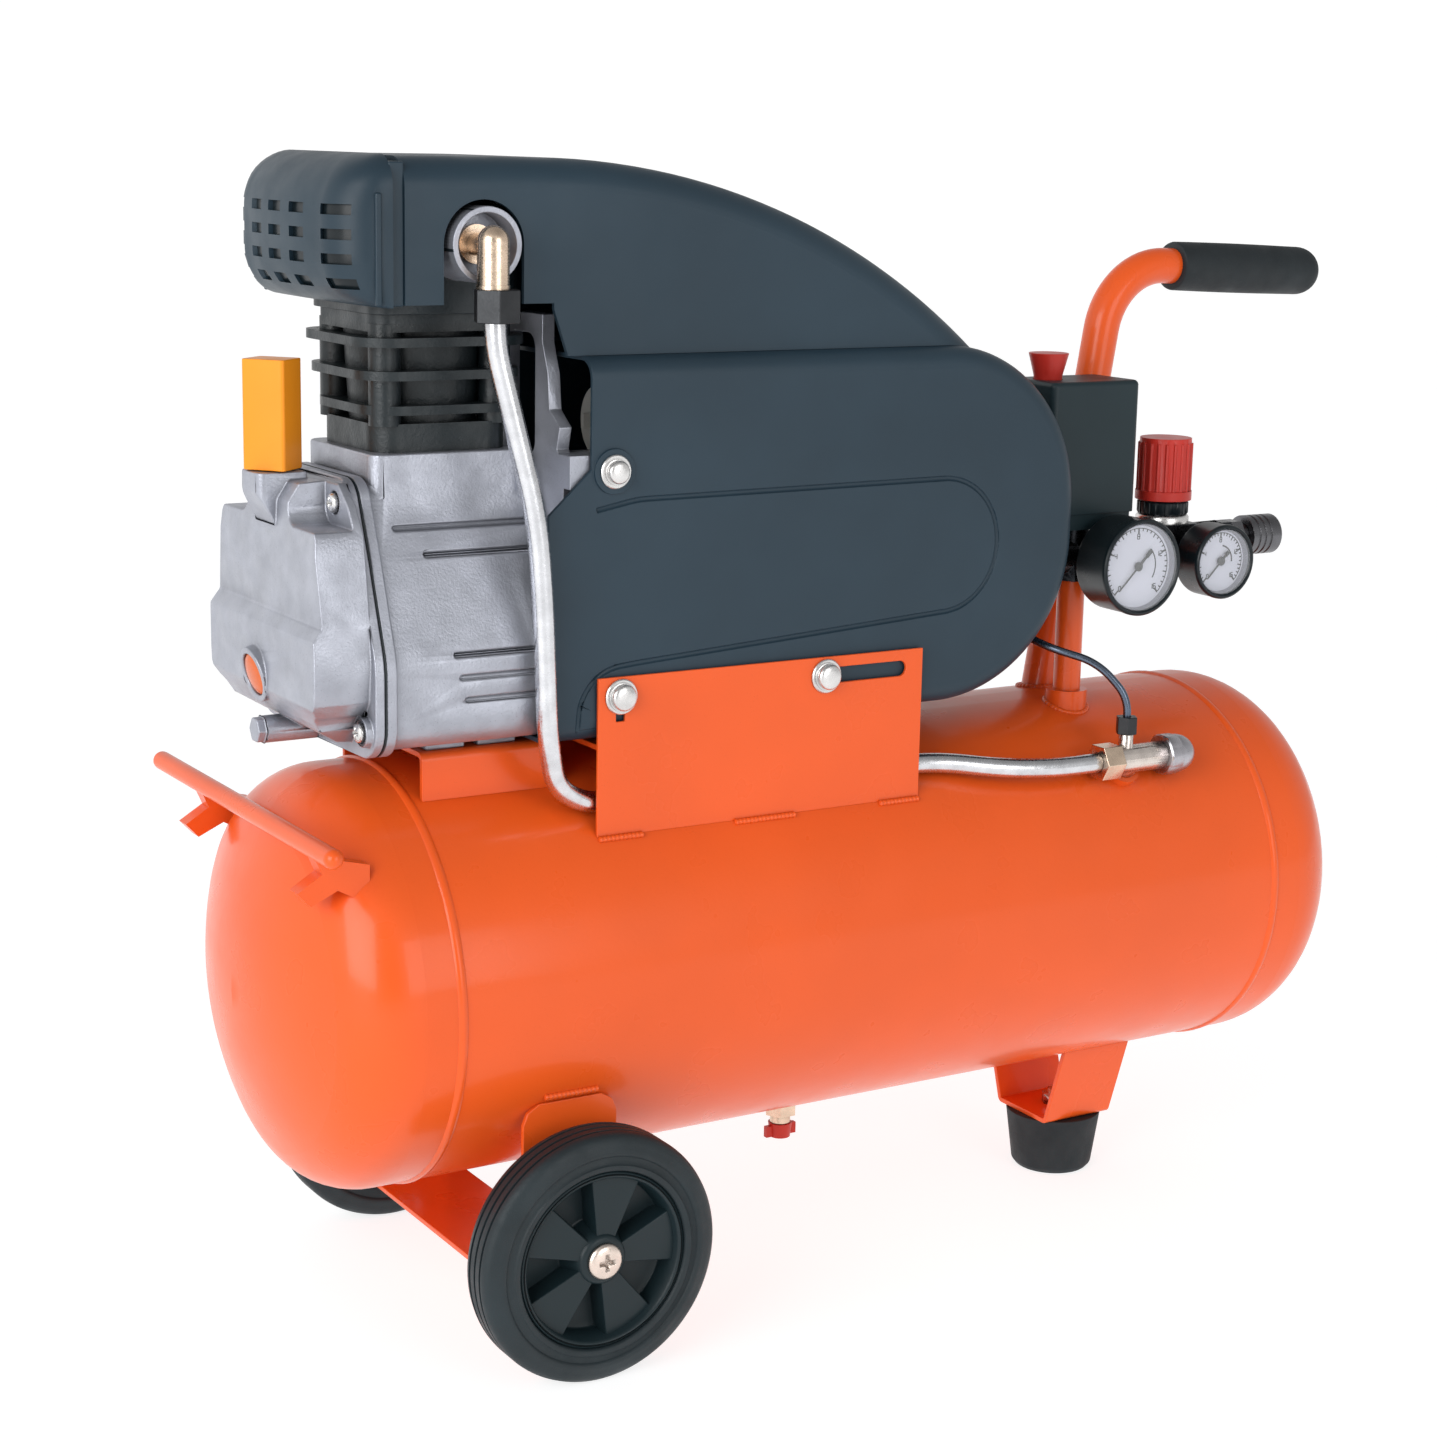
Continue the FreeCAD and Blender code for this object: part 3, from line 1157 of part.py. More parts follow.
def needle(centre, y, length):
    """Pointer with a tail and a round boss, at the zero mark of its dial."""
    x, z = centre
    pointer = prism_y([(x - 1.2, z - 6), (x + 1.2, z - 6), (x + 0.4, z + length), (x - 0.4, z + length)],
                      [0] * 4, y, y + 0.6)
    boss = rod((x, y - 0.4, z), (x, y + 0.8, z), 2.6)
    pin = rod((x, y + 0.6, z), (x, y + 2.6, z), 1.2)
    whole = fuse([pointer, boss, pin])
    whole.rotate(Vector(x, 0, z), Y, -135)
    return whole


def needle_large():
    return needle(GAUGE_L, -74.4, 19.0)


def needle_small():
    return needle(GAUGE_S, -71.4, 14.0)


def coupler_body():
    """Outlet nipple with a stepped nose for the sliding sleeve."""
    parts = [
        rod((256, LINE_Y, 392), (266, LINE_Y, 392), 4.95),
        hexagon((266, LINE_Y, 392), (274, LINE_Y, 392), 19),
        rod((274, LINE_Y, 392), (305, LINE_Y, 392), 7.5),
    ]
    return fuse(parts).cut(rod((250, LINE_Y, 392), (310, LINE_Y, 392), 3.8))


def coupler_sleeve():
    sleeve = rod((279, LINE_Y, 392), (301, LINE_Y, 392), 12.0)
    rings = [pipe((x, LINE_Y, 392), (x + 1.4, LINE_Y, 392), 13, 11.4) for x in (283.0, 287.5, 292.0)]
    return cut(sleeve, rings + [rod((270, LINE_Y, 392), (310, LINE_Y, 392), 7.58)])


# ---------------------------------------------------------------- output
NODES = [
    tank_shell, tank_ends, tank_ports, drain_valve, drain_screw,
    wheel_bracket, foot_bracket, rubber_foot, chassis_bolts,
    wheel_rim_near, tyre_near, wheel_rim_far, tyre_far,
    carry_bar, handle_tube, grip, saddles, cover_bolts,
    crankcase, crankcase_cover, oil_sight_glass, breather_plug, gaskets,
    cylinder, valve_plate, head, pump_bolts, head_guard, upper_shroud, lower_cover,
    crankshaft, main_bearings, connecting_rod, piston, piston_pin_and_rings,
    motor_flange, wound_stator, end_bell, fan, capacitor,
    discharge_elbow, black_nuts, discharge_pipe, unloader_pipe,
    check_valve, manifold, safety_valve, safety_ring,
    switch_base, switch_cover, switch_knob,
    regulator_body, regulator_knob, gauge_cases, gauge_dials, gauge_glasses,
    needle_large, needle_small, coupler_body, coupler_sleeve,
]


def main():
    os.makedirs("parts", exist_ok=True)
    for make in NODES:
        shape = make()
        shape.exportStep("parts/%s.step" % make.__name__)
        print(make.__name__, len(shape.Solids), "valid" if shape.isValid() else "INVALID",
              round(shape.Volume / 1000.0, 2), "cm3")


main()
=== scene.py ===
import json
import math

import bmesh
import bpy
from mathutils import Matrix, Vector


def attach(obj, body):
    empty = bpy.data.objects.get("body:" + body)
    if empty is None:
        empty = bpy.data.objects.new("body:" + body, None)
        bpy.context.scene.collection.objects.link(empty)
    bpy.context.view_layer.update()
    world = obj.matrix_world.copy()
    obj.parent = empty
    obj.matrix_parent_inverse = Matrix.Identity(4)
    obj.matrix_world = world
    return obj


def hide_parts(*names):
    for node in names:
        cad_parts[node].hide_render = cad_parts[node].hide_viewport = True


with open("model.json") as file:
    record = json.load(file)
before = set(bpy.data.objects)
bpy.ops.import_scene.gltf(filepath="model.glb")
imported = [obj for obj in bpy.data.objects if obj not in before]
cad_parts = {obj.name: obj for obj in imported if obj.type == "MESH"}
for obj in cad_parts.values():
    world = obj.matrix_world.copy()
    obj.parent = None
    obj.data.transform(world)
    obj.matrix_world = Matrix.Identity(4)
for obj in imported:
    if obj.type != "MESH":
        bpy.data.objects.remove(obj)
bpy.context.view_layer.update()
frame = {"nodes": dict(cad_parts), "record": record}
NODES = frame["nodes"]
SLOT_OF = {part["node"]: part["material_slot"] for part in frame["record"]["subparts"]}
BODY_OF = {node: body for body, members in frame["record"]["behaviour"]["bodies"].items() for node in members}
MM = 0.001


# ---------------------------------------------------------------- materials
class Surface:
    """A node material around one Principled shader, in object coordinates."""

    def __init__(self, name):
        self.mat = bpy.data.materials.new(name)
        self.mat.use_nodes = True
        self.tree = self.mat.node_tree
        self.shader = next(n for n in self.tree.nodes if n.type == "BSDF_PRINCIPLED")
        self.coords = self.add("ShaderNodeTexCoord").outputs["Object"]

    def add(self, kind, **values):
        node = self.tree.nodes.new(kind)
        for key, value in values.items():
            setattr(node, key, value)
        return node

    def link(self, out, socket):
        self.tree.links.new(out, socket)

    def put(self, **values):
        """Sets inputs of the shader; an underscore stands for a space, a tuple is a colour."""
        for key, value in values.items():
            socket = self.shader.inputs[key.replace("_", " ")]
            socket.default_value = (*value, 1.0) if isinstance(value, tuple) else value

    def noise(self, scale, detail=3.0):
        """Cloudy pattern; scale in cells to the metre."""
        node = self.add("ShaderNodeTexNoise")
        node.inputs["Scale"].default_value = scale
        node.inputs["Detail"].default_value = detail
        node.inputs["Roughness"].default_value = 0.55
        self.link(self.coords, node.inputs["Vector"])
        return node.outputs["Fac"]

    def specks(self, scale, start, end):
        """1 at the middle of each cell, falling to 0 at the far end of a distance range."""
        node = self.add("ShaderNodeTexVoronoi", feature="F1")
        node.inputs["Scale"].default_value = scale
        self.link(self.coords, node.inputs["Vector"])
        return self.spread(node.outputs["Distance"], 1.0, 0.0, start, end)

    def spread(self, value, low, high, start=0.3, end=0.7):
        """Maps the range start to end onto low to high, held at both ends."""
        node = self.add("ShaderNodeMapRange")
        node.inputs["From Min"].default_value = start
        node.inputs["From Max"].default_value = end
        node.inputs["To Min"].default_value = low
        node.inputs["To Max"].default_value = high
        self.link(value, node.inputs["Value"])
        return node.outputs["Result"]

    def times(self, value, factor):
        """One number output multiplied by a fixed factor."""
        node = self.add("ShaderNodeMath", operation="MULTIPLY")
        self.link(value, node.inputs[0])
        node.inputs[1].default_value = factor
        return node.outputs[0]

    def blend(self, factor, first, second):
        """Colour between first and second, each a tuple or another node's output."""
        node = self.add("ShaderNodeMix", data_type="RGBA")
        self.link(factor, node.inputs["Factor"])
        for socket, value in ((node.inputs[6], first), (node.inputs[7], second)):
            if isinstance(value, tuple):
                socket.default_value = (*value, 1.0)
            else:
                self.link(value, socket)
        return node.outputs[2]

    def colour(self, out):
        self.link(out, self.shader.inputs["Base Color"])

    def bump(self, height, strength, distance):
        node = self.add("ShaderNodeBump")
        node.inputs["Strength"].default_value = strength
        node.inputs["Distance"].default_value = distance
        self.link(height, node.inputs["Height"])
        self.link(node.outputs["Normal"], self.shader.inputs["Normal"])

    def painted_crevice_shade(self, distance):
        """Painted shade from ambient occlusion: 1 in corners and under parts, 0 in the open; distance in
        metres.
        """
        node = self.add("ShaderNodeAmbientOcclusion", samples=6)
        node.inputs["Distance"].default_value = distance
        return self.spread(node.outputs["AO"], 1.0, 0.0, 0.35, 0.95)


def scaled(colour, factor):
    return tuple(min(1.0, c * factor) for c in colour)


def paint(name, colour):
    """Gloss enamel with orange peel, faint shade drift and painted shade in its corners."""
    s = Surface(name)
    drift = s.blend(s.spread(s.noise(7.0), 0.0, 1.0), scaled(colour, 0.93), scaled(colour, 1.06))
    speckled = s.blend(s.specks(420.0, 0.03, 0.09), drift, scaled(colour, 0.72))
    # painted shade: ambient occlusion darkens the enamel in corners and under parts
    s.colour(s.blend(s.times(s.painted_crevice_shade(0.010), 0.35), speckled, scaled(colour, 0.35)))
    s.link(s.spread(s.noise(30.0), 0.25, 0.37), s.shader.inputs["Roughness"])
    s.bump(s.noise(420.0, 2.0), 0.10, 0.0004)
    s.put(Coat_Weight=0.30, Coat_Roughness=0.12, Specular_IOR_Level=0.25)
    return s.mat


def moulded(name, colour, roughness=0.42, grain=2200.0, depth=0.16, dust=0.5):
    """Injection-moulded plastic: fine spark grain, soft shade drift, paler scuffs."""
    s = Surface(name)
    drift = s.blend(s.spread(s.noise(9.0), 0.0, 1.0), scaled(colour, 0.88), scaled(colour, 1.12))
    film = s.times(s.spread(s.noise(55.0, 6.0), 0.0, 1.0, 0.55, 0.8), dust * 0.12)
    s.colour(s.blend(film, drift, scaled(colour, 1.6)))
    s.link(s.spread(s.noise(40.0, 4.0), roughness - 0.06, roughness + 0.08), s.shader.inputs["Roughness"])
    s.bump(s.noise(grain, 2.0), depth, 0.0003)
    s.put(Specular_IOR_Level=0.32)
    return s.mat


def cast_metal(name, colour, metallic=0.75, roughness=0.42, grain=700.0, depth=0.35, corner_shade=0.7):
    """Die casting with a sandy skin, mottled tone and painted shade in its corners."""
    s = Surface(name)
    mottled = s.blend(s.spread(s.noise(60.0, 5.0), 0.0, 1.0), scaled(colour, 0.86), scaled(colour, 1.08))
    pitted = s.blend(s.specks(520.0, 0.05, 0.16), mottled, scaled(colour, 0.6))
    # painted shade: ambient occlusion darkens the casting in corners and under parts
    s.colour(s.blend(s.times(s.painted_crevice_shade(0.009), corner_shade), pitted, scaled(colour, 0.22)))
    s.link(s.spread(s.noise(90.0, 4.0), roughness - 0.09, roughness + 0.12), s.shader.inputs["Roughness"])
    s.bump(s.noise(grain, 4.0), depth, 0.0006)
    s.put(Metallic=metallic, Specular_IOR_Level=0.5)
    return s.mat


def turned_metal(name, colour, roughness):
    """Plated or machined metal with a fine grain, a cloudy tone and painted shade in its hollows."""
    s = Surface(name)
    grain = s.noise(900.0, 2.0)
    tone = s.blend(s.spread(s.noise(110.0, 4.0), 0.0, 1.0), scaled(colour, 0.88), scaled(colour, 1.12))
    # painted shade: ambient occlusion darkens the metal in its hollows
    s.colour(s.blend(s.times(s.painted_crevice_shade(0.005), 0.5), tone, scaled(colour, 0.2)))
    s.link(s.spread(grain, roughness - 0.07, roughness + 0.12), s.shader.inputs["Roughness"])
    s.bump(grain, 0.08, 0.0002)
    s.put(Metallic=1.0)
    return s.mat


def rubber(name, colour, roughness=0.62):
    """Matt rubber or foam with fine pores and pale handling marks."""
    s = Surface(name)
    drift = s.blend(s.spread(s.noise(25.0, 5.0), 0.0, 1.0), scaled(colour, 0.8), scaled(colour, 1.35))
    s.colour(drift)
    s.link(s.spread(s.noise(70.0, 4.0), roughness - 0.1, roughness + 0.12), s.shader.inputs["Roughness"])
    s.bump(s.noise(900.0, 4.0), 0.3, 0.0005)
    s.put(Specular_IOR_Level=0.4)
    return s.mat


def clear(name, colour, alpha):
    """Thin clear window: mostly see-through, with its own reflection and faint smears."""
    s = Surface(name)
    s.colour(s.blend(s.spread(s.noise(80.0), 0.0, 1.0), colour, scaled(colour, 0.95)))
    s.link(s.spread(s.noise(120.0, 4.0), 0.03, 0.09), s.shader.inputs["Roughness"])
    s.put(Alpha=alpha, Specular_IOR_Level=0.6)
    return s.mat


MAT = {
    "tank_paint": paint("orange_enamel", (0.82, 0.103, 0.012)),
    "rubber_black": rubber("black_rubber", (0.010, 0.015, 0.018)),
    "tyre_black": rubber("tyre_rubber", (0.010, 0.018, 0.022), 0.5),
    "wheel_plastic": moulded("wheel_nylon", (0.009, 0.019, 0.023), 0.38),
    "zinc_fasteners": turned_metal("zinc_plate", (0.74, 0.73, 0.72), 0.26),
    "cast_aluminium": cast_metal("silver_casting", (0.40, 0.415, 0.47), 0.6, 0.37),
    "sight_glass": clear("sight_glass_amber", (0.80, 0.16, 0.03), 0.8),
    "plug_orange": moulded("plug_nylon", (0.95, 0.30, 0.012), 0.34, 1200.0, 0.05, 0.1),
    "gasket_grey": rubber("gasket_fibre", (0.09, 0.085, 0.075), 0.8),
    "cylinder_iron": cast_metal("black_iron", (0.008, 0.014, 0.017), 0.1, 0.36, 500.0, 0.35, 0.6),
    "steel_parts": turned_metal("machined_steel", (0.52, 0.53, 0.55), 0.3),
    "cover_plastic": moulded("cover_abs", (0.018, 0.037, 0.054), 0.42),
    "fan_plastic": moulded("fan_nylon", (0.03, 0.03, 0.03), 0.45),
    "capacitor_can": moulded("capacitor_plastic", (0.62, 0.61, 0.57), 0.4),
    "brass": turned_metal("pale_brass", (0.80, 0.62, 0.47), 0.22),
    "drain_red": moulded("drain_cap_red", (0.50, 0.03, 0.018), 0.35),
    "ring_steel": turned_metal("bent_wire", (0.6, 0.6, 0.6), 0.28),
    "black_steel": turned_metal("blackened_steel", (0.05, 0.052, 0.055), 0.35),
    "pipe_metal": turned_metal("drawn_tube", (0.70, 0.705, 0.73), 0.20),
    # painted shade: the fitting's near-black colour is taken from the shadow the manifold sits in
    "manifold_metal": turned_metal("shadow_dark_fitting", (0.05, 0.053, 0.06), 0.28),
    "knob_red": moulded("knob_red_plastic", (0.52, 0.030, 0.020), 0.33, 1500.0, 0.06, 0.2),
    "gauge_black": moulded("gauge_case_plastic", (0.006, 0.011, 0.014), 0.28, 1500.0, 0.05, 0.2),
    "dial_white": moulded("dial_enamel", (0.62, 0.63, 0.72), 0.45, 900.0, 0.03, 0.0),
    "gauge_glass": clear("gauge_window", (0.9, 0.93, 0.95), 0.10),
    "needle_black": moulded("needle_enamel", (0.012, 0.012, 0.012), 0.4, 900.0, 0.03, 0.0),
    "coupler_metal": turned_metal("gunmetal_plate", (0.16, 0.16, 0.17), 0.26),
    "black_paint": cast_metal("black_enamel_casting", (0.010, 0.017, 0.021), 0.1, 0.38, 500.0, 0.3, 0.6),
    "liner_grey": moulded("dial_liner", (0.22, 0.22, 0.26), 0.4, 900.0, 0.03, 0.0),
    "pale_body": turned_metal("pale_turned_brass", (0.78, 0.70, 0.64), 0.24),
    "warm_zinc": turned_metal("yellowed_zinc", (0.80, 0.68, 0.60), 0.28),
    "grey_cap": turned_metal("dull_nickel", (0.46, 0.45, 0.48), 0.3),
    "switch_abs": moulded("switch_abs", (0.011, 0.025, 0.031), 0.40),
    "blue_tube": turned_metal("blued_tube", (0.12, 0.15, 0.20), 0.22),
}
# nodes whose colour in the photograph differs from the rest of their slot
LOOKS = {"switch_cover": "switch_abs", "switch_base": "switch_abs", "unloader_pipe": "blue_tube"}


def dress_cad_nodes():
    """Every carried-over node takes the material of its own slot, or the one LOOKS names for it."""
    for part in frame["record"]["subparts"]:
        node = NODES[part["node"]]
        node.data.materials.clear()
        node.data.materials.append(MAT[LOOKS.get(part["node"], part["material_slot"])])


# ---------------------------------------------------------------- mesh tools
def add_piece(name, bm, slot, body="frame", stands_for=(), smooth=38.0):
    """Turns a bmesh in metres into a shown piece that rides on a body and wears its slot's material."""
    bmesh.ops.recalc_face_normals(bm, faces=bm.faces)
    mesh = bpy.data.meshes.new(name)
    bm.to_mesh(mesh)
    bm.free()
    mesh.shade_smooth()
    mesh.set_sharp_from_angle(angle=math.radians(smooth))
    mesh.materials.append(MAT[slot])
    obj = bpy.data.objects.new(name, mesh)
    bpy.context.scene.collection.objects.link(obj)
    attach(obj, body)
    if stands_for:
        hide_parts(*stands_for)
    return obj


def round_edges(obj, width, segments=2, angle=28.0):
    """Small rounds on every sharp edge, with flat faces kept flat; width in metres, angle in degrees."""
    bevel = obj.modifiers.new("edge_rounds", "BEVEL")
    bevel.width = width
    bevel.segments = segments
    bevel.limit_method = "ANGLE"
    bevel.angle_limit = math.radians(angle)
    bevel.use_clamp_overlap = False
    bevel.miter_outer = "MITER_ARC"
    bevel.harden_normals = True
    return obj


def soften(node, width):
    """The node's own shape with its sharp edges rounded by a width in metres; it stands for the node."""
    bm = bmesh.new()
    bm.from_mesh(NODES[node].data)
    bmesh.ops.remove_doubles(bm, verts=bm.verts, dist=0.002 * MM)
    bmesh.ops.dissolve_limit(bm, angle_limit=math.radians(0.6), verts=bm.verts[:], edges=bm.edges[:])
    obj = add_piece(node + "_rounded", bm, SLOT_OF[node], BODY_OF[node], [node])
    obj.data.materials[0] = NODES[node].data.materials[0]
    return round_edges(obj, width)


def frame_for(axis):
    """Two unit vectors square to an axis, then the axis itself, as a right-handed set."""
    w = Vector(axis).normalized()
    helper = Vector((0, 0, 1)) if abs(w.z) < 0.9 else Vector((0, 1, 0))
    u = helper.cross(w).normalized()
    return u, w.cross(u), w


def turn_on_lathe(bm, base, axis, profile, segments=96, ripple=None, ring_shaped=False):
    """Body of revolution in millimetres; profile holds (distance along the axis, radius) pairs.

    A ring_shaped profile is a closed loop clear of the axis; any other is closed by its end rings.
    ripple(angle, distance) is added to the radius.
    """
    u, v, w = frame_for(axis)
    base = Vector(base) * MM
    rings = []
    for along, radius in profile:
        centre = base + w * (along * MM)
        if radius < 1e-4:  # a point on the axis
            rings.append([bm.verts.new(centre)])
            continue
        ring = []
        for i in range(segments):
            a = 2 * math.pi * i / segments
            r = (radius + (ripple(a, along) if ripple else 0.0)) * MM
            ring.append(bm.verts.new(centre + u * (r * math.cos(a)) + v * (r * math.sin(a))))
        rings.append(ring)
    if ring_shaped:
        rings.append(rings[0])
    for first, second in zip(rings, rings[1:]):
        n = max(len(first), len(second))
        for i in range(n):
            j = (i + 1) % n
            corners = [first[i % len(first)], first[j % len(first)],
                       second[j % len(second)], second[i % len(second)]]
            unique = list(dict.fromkeys(corners))
            if len(unique) > 2:
                bm.faces.new(unique)
    if not ring_shaped:
        for ring in (rings[0], rings[-1]):
            if len(ring) > 1:
                bm.faces.new(ring)


def add_block(bm, centre, half, turn=None):
    """Box with given half sizes in millimetres, optionally turned about its own centre."""
    corners = []
    for x in (-1, 1):
        for y in (-1, 1):
            for z in (-1, 1):
                p = Vector((x * half[0], y * half[1], z * half[2]))
                corners.append(bm.verts.new((Vector(centre) + (turn @ p if turn else p)) * MM))
    for face in ((0, 1, 3, 2), (4, 6, 7, 5), (0, 4, 5, 1), (2, 3, 7, 6), (0, 2, 6, 4), (1, 5, 7, 3)):
        bm.faces.new([corners[i] for i in face])


def add_dome(bm, base, axis, radius, skirt, crown, arm=0.0):
    """Round screw head in millimetres: straight skirt, low crown and, when arm is set, a cross recess."""
    u, v, w = frame_for(axis)
    base = Vector(base)
    rows = []
    steps, around = 16, 72
    for k in range(-1, steps):
        r = radius * (1.0 - max(k, 0) / steps)
        row = []
        for i in range(around):
            a = 2 * math.pi * i / around
            p, q = abs(r * math.cos(a)), abs(r * math.sin(a))
            height = 0.0 if k < 0 else skirt + crown * (1.0 - (r / radius) ** 2.6) ** 0.5
            if arm and k > 0 and min(p, q) < 0.26 * arm and max(p, q) < arm:
                height -= 1.1 * crown
            spot = base + w * height + u * (r * math.cos(a)) + v * (r * math.sin(a))
            row.append(bm.verts.new(spot * MM))
        rows.append(row)
    for first, second in zip(rows, rows[1:]):
        for i in range(around):
            j = (i + 1) % around
            bm.faces.new((first[i], first[j], second[j], second[i]))
    bm.faces.new(rows[0])
    bm.faces.new(rows[-1])


def add_bead(bm, points, radius):
    """Weld bead along a line of points in millimetres, with the scale pattern of a hand-held torch."""
    pitch, steps, sides = 2.4, 5, 12
    places = []
    for start, end in zip(points, points[1:]):
        start, end = Vector(start), Vector(end)
        count = max(2, int((end - start).length / (pitch / steps)))
        places += [start.lerp(end, i / count) for i in range(count)]
    places.append(Vector(points[-1]))
    rows = []
    for n, spot in enumerate(places):
        ahead = places[min(n + 1, len(places) - 1)] - places[max(n - 1, 0)]
        u, v, _ = frame_for(ahead)
        swell = radius * (0.86 + 0.2 * abs(math.sin(math.pi * n / steps)))
        if n in (0, len(places) - 1):
            swell *= 0.45
        rows.append([bm.verts.new((spot + u * (swell * math.cos(a)) + v * (swell * math.sin(a))) * MM)
                     for a in (2 * math.pi * k / sides for k in range(sides))])
    for first, second in zip(rows, rows[1:]):
        for k in range(sides):
            m = (k + 1) % sides
            bm.faces.new((first[k], first[m], second[m], second[k]))
    bm.faces.new(rows[0])
    bm.faces.new(rows[-1])


def part_of(node, keep):
    """The node's mesh without the points that fail the rule keep(x, y, z) in millimetres."""
    bm = bmesh.new()
    bm.from_mesh(NODES[node].data)
    bmesh.ops.remove_doubles(bm, verts=bm.verts, dist=0.002 * MM)
    doomed = [v for v in bm.verts if not keep(*(v.co / MM))]
    bmesh.ops.delete(bm, geom=doomed, context="VERTS")
    return bm


def recolour(obj, rule, *materials):
    """Each face takes the material numbered by rule(x, y, z) at its middle in millimetres; 0 is the first."""
    for name in materials:
        obj.data.materials.append(MAT[name])
    for face in obj.data.polygons:
        face.material_index = rule(*(face.center / MM))


# ---------------------------------------------------------------- wheels
AXLE = (-217.4, 66.5)     # x and z of the wheels' axle, in millimetres like all lengths below
TREAD = 139.7             # y of the outer face of each wheel


def build_tyre(side, name):
    """Solid tyre with two raised rings on its walls and three grooves in the tread."""
    half = [(3.0, 46.95), (0.9, 47.4), (0.1, 48.4), (0.1, 50.4), (1.3, 51.4), (1.6, 54.6), (0.5, 55.5),
            (0.2, 56.8), (0.9, 58.4), (1.5, 61.0), (2.6, 63.8), (4.4, 65.7), (6.6, 66.4)]
    grooves = []
    for middle in (8.5, 14.0, 19.5):
        grooves += [(middle - 0.9, 66.5), (middle - 0.6, 64.9), (middle + 0.6, 64.9), (middle + 0.9, 66.5)]
    profile = half + grooves + [(28.0 - a, r) for a, r in reversed(half)]
    bm = bmesh.new()
    turn_on_lathe(bm, (AXLE[0], side * TREAD, AXLE[1]), (0, -side, 0), profile, 144, ring_shaped=True)
    add_piece(name + "_moulded", bm, "tyre_black", BODY_OF[name], [name], 50.0)


def build_rim(side, name):
    """Dished nylon wheel: five broad petals between deep pockets."""
    profile = [(2.4, 46.9), (1.2, 46.1), (1.1, 44.4), (2.4, 43.2), (15.4, 41.4), (16.6, 38.0), (16.6, 18.0),
               (8.0, 14.6), (3.0, 13.0), (1.9, 11.8), (1.5, 10.4), (1.5, 5.2), (33.6, 5.2), (33.6, 13.6),
               (32.4, 15.0), (20.6, 16.0), (20.4, 41.0), (26.0, 42.4), (26.4, 46.9)]
    bm = bmesh.new()
    turn_on_lathe(bm, (AXLE[0], side * TREAD, AXLE[1]), (0, -side, 0), profile, 120, ring_shaped=True)
    petals, back = 5, 18.0
    for i in range(petals):
        a = math.radians(360 / petals * i + 12)
        out, across = Vector((math.sin(a), 0, math.cos(a))), Vector((math.cos(a), 0, -math.sin(a)))
        corners = []
        # distance from the axle, half width, depth of the face behind the wheel's outer face
        for r, half, face in ((9.0, 4.6, 3.4), (24.0, 8.8, 4.4), (43.4, 14.6, 5.4)):
            for depth, wide in ((face, half), (back, half + 1.2)):
                hub = Vector((AXLE[0], side * (TREAD - depth), AXLE[1]))
                for s in (-1, 1):
                    corners.append(bm.verts.new((hub + out * r + across * (s * wide)) * MM))
        for k in (0, 4):
            a0, b0, c0, d0, a1, b1, c1, d1 = corners[k:k + 8]
            for quad in ((a0, b0, b1, a1), (b0, d0, d1, b1), (d0, c0, c1, d1), (c0, a0, a1, c1)):
                bm.faces.new(quad)
        bm.faces.new([corners[i] for i in (0, 1, 3, 2)])
        bm.faces.new([corners[i] for i in (8, 9, 11, 10)])
    obj = add_piece(name + "_petals", bm, "wheel_plastic", BODY_OF[name], [name])
    round_edges(obj, 0.9 * MM, 2, 40.0)


# ---------------------------------------------------------------- screws and welds
TANK_AXIS_Z = 191.5
TANK_SKIN = 112.2         # radius on which the weld beads lie


def build_fasteners():
    """Domed heads and turned washers in place of the plain ends of the three sets of bolts."""
    bm = part_of("chassis_bolts", lambda x, y, z: abs(y) < 138.5)
    for side in (-1, 1):
        add_dome(bm, (AXLE[0], side * 138.6, AXLE[1]), (0, side, 0), 9.4, 1.4, 2.6, 4.6)
    obj = add_piece("chassis_bolts_domed", bm, "zinc_fasteners", "frame", ["chassis_bolts"])
    recolour(obj, lambda x, y, z: 1 if abs(y) > 130 else 0, "warm_zinc")
    # x, z, distance of the seat from the middle plane, radius of washer and head
    covers = ((-178.7, 343.0, 80.0, 9.2, 6.8), (-54.1, 343.0, 80.0, 9.2, 6.8),
              (-182.5, 457.8, 78.5, 8.6, 5.8))
    bm = part_of("cover_bolts", lambda x, y, z: abs(y) < (79.9 if z < 400 else 78.4))
    for x, z, face, washer, head in covers:
        for side in (-1, 1):
            ring = [(0.0, 3.0), (0.0, washer), (1.0, washer), (1.5, washer - 0.5), (1.5, 3.0)]
            turn_on_lathe(bm, (x, side * face, z), (0, side, 0), ring, 64, ring_shaped=True)
            collar = [(1.5, 0.0), (1.5, head + 0.8), (2.1, head + 0.7), (2.3, head), (2.3, 0.0)]
            turn_on_lathe(bm, (x, side * face, z), (0, side, 0), collar, 64)
            add_dome(bm, (x, side * (face + 2.2), z), (0, side, 0), head, 2.3, 1.9)
    add_piece("cover_bolts_domed", bm, "zinc_fasteners", "frame", ["cover_bolts"])
    bm = part_of("pump_bolts", lambda x, y, z: x > -313.8)
    for y, z in ((65.0, 334.5), (-65.0, 334.5), (36.0, 444.0), (-36.0, 444.0)):
        add_dome(bm, (-314.0, y, z), (-1, 0, 0), 4.9, 3.0, 1.9, 2.8)
    add_piece("pump_bolts_domed", bm, "zinc_fasteners", "frame", ["pump_bolts"])


def ring_on_tank(x, y, along, across):
    """Closed line of points on the tank's top around an upright tube that stands at (x, y)."""
    turns = [math.pi * k / 12 for k in range(25)]
    ring = [(x + along * math.cos(a), y + across * math.sin(a)) for a in turns]
    return [(px, py, TANK_AXIS_Z + math.sqrt(TANK_SKIN ** 2 - py * py)) for px, py in ring]


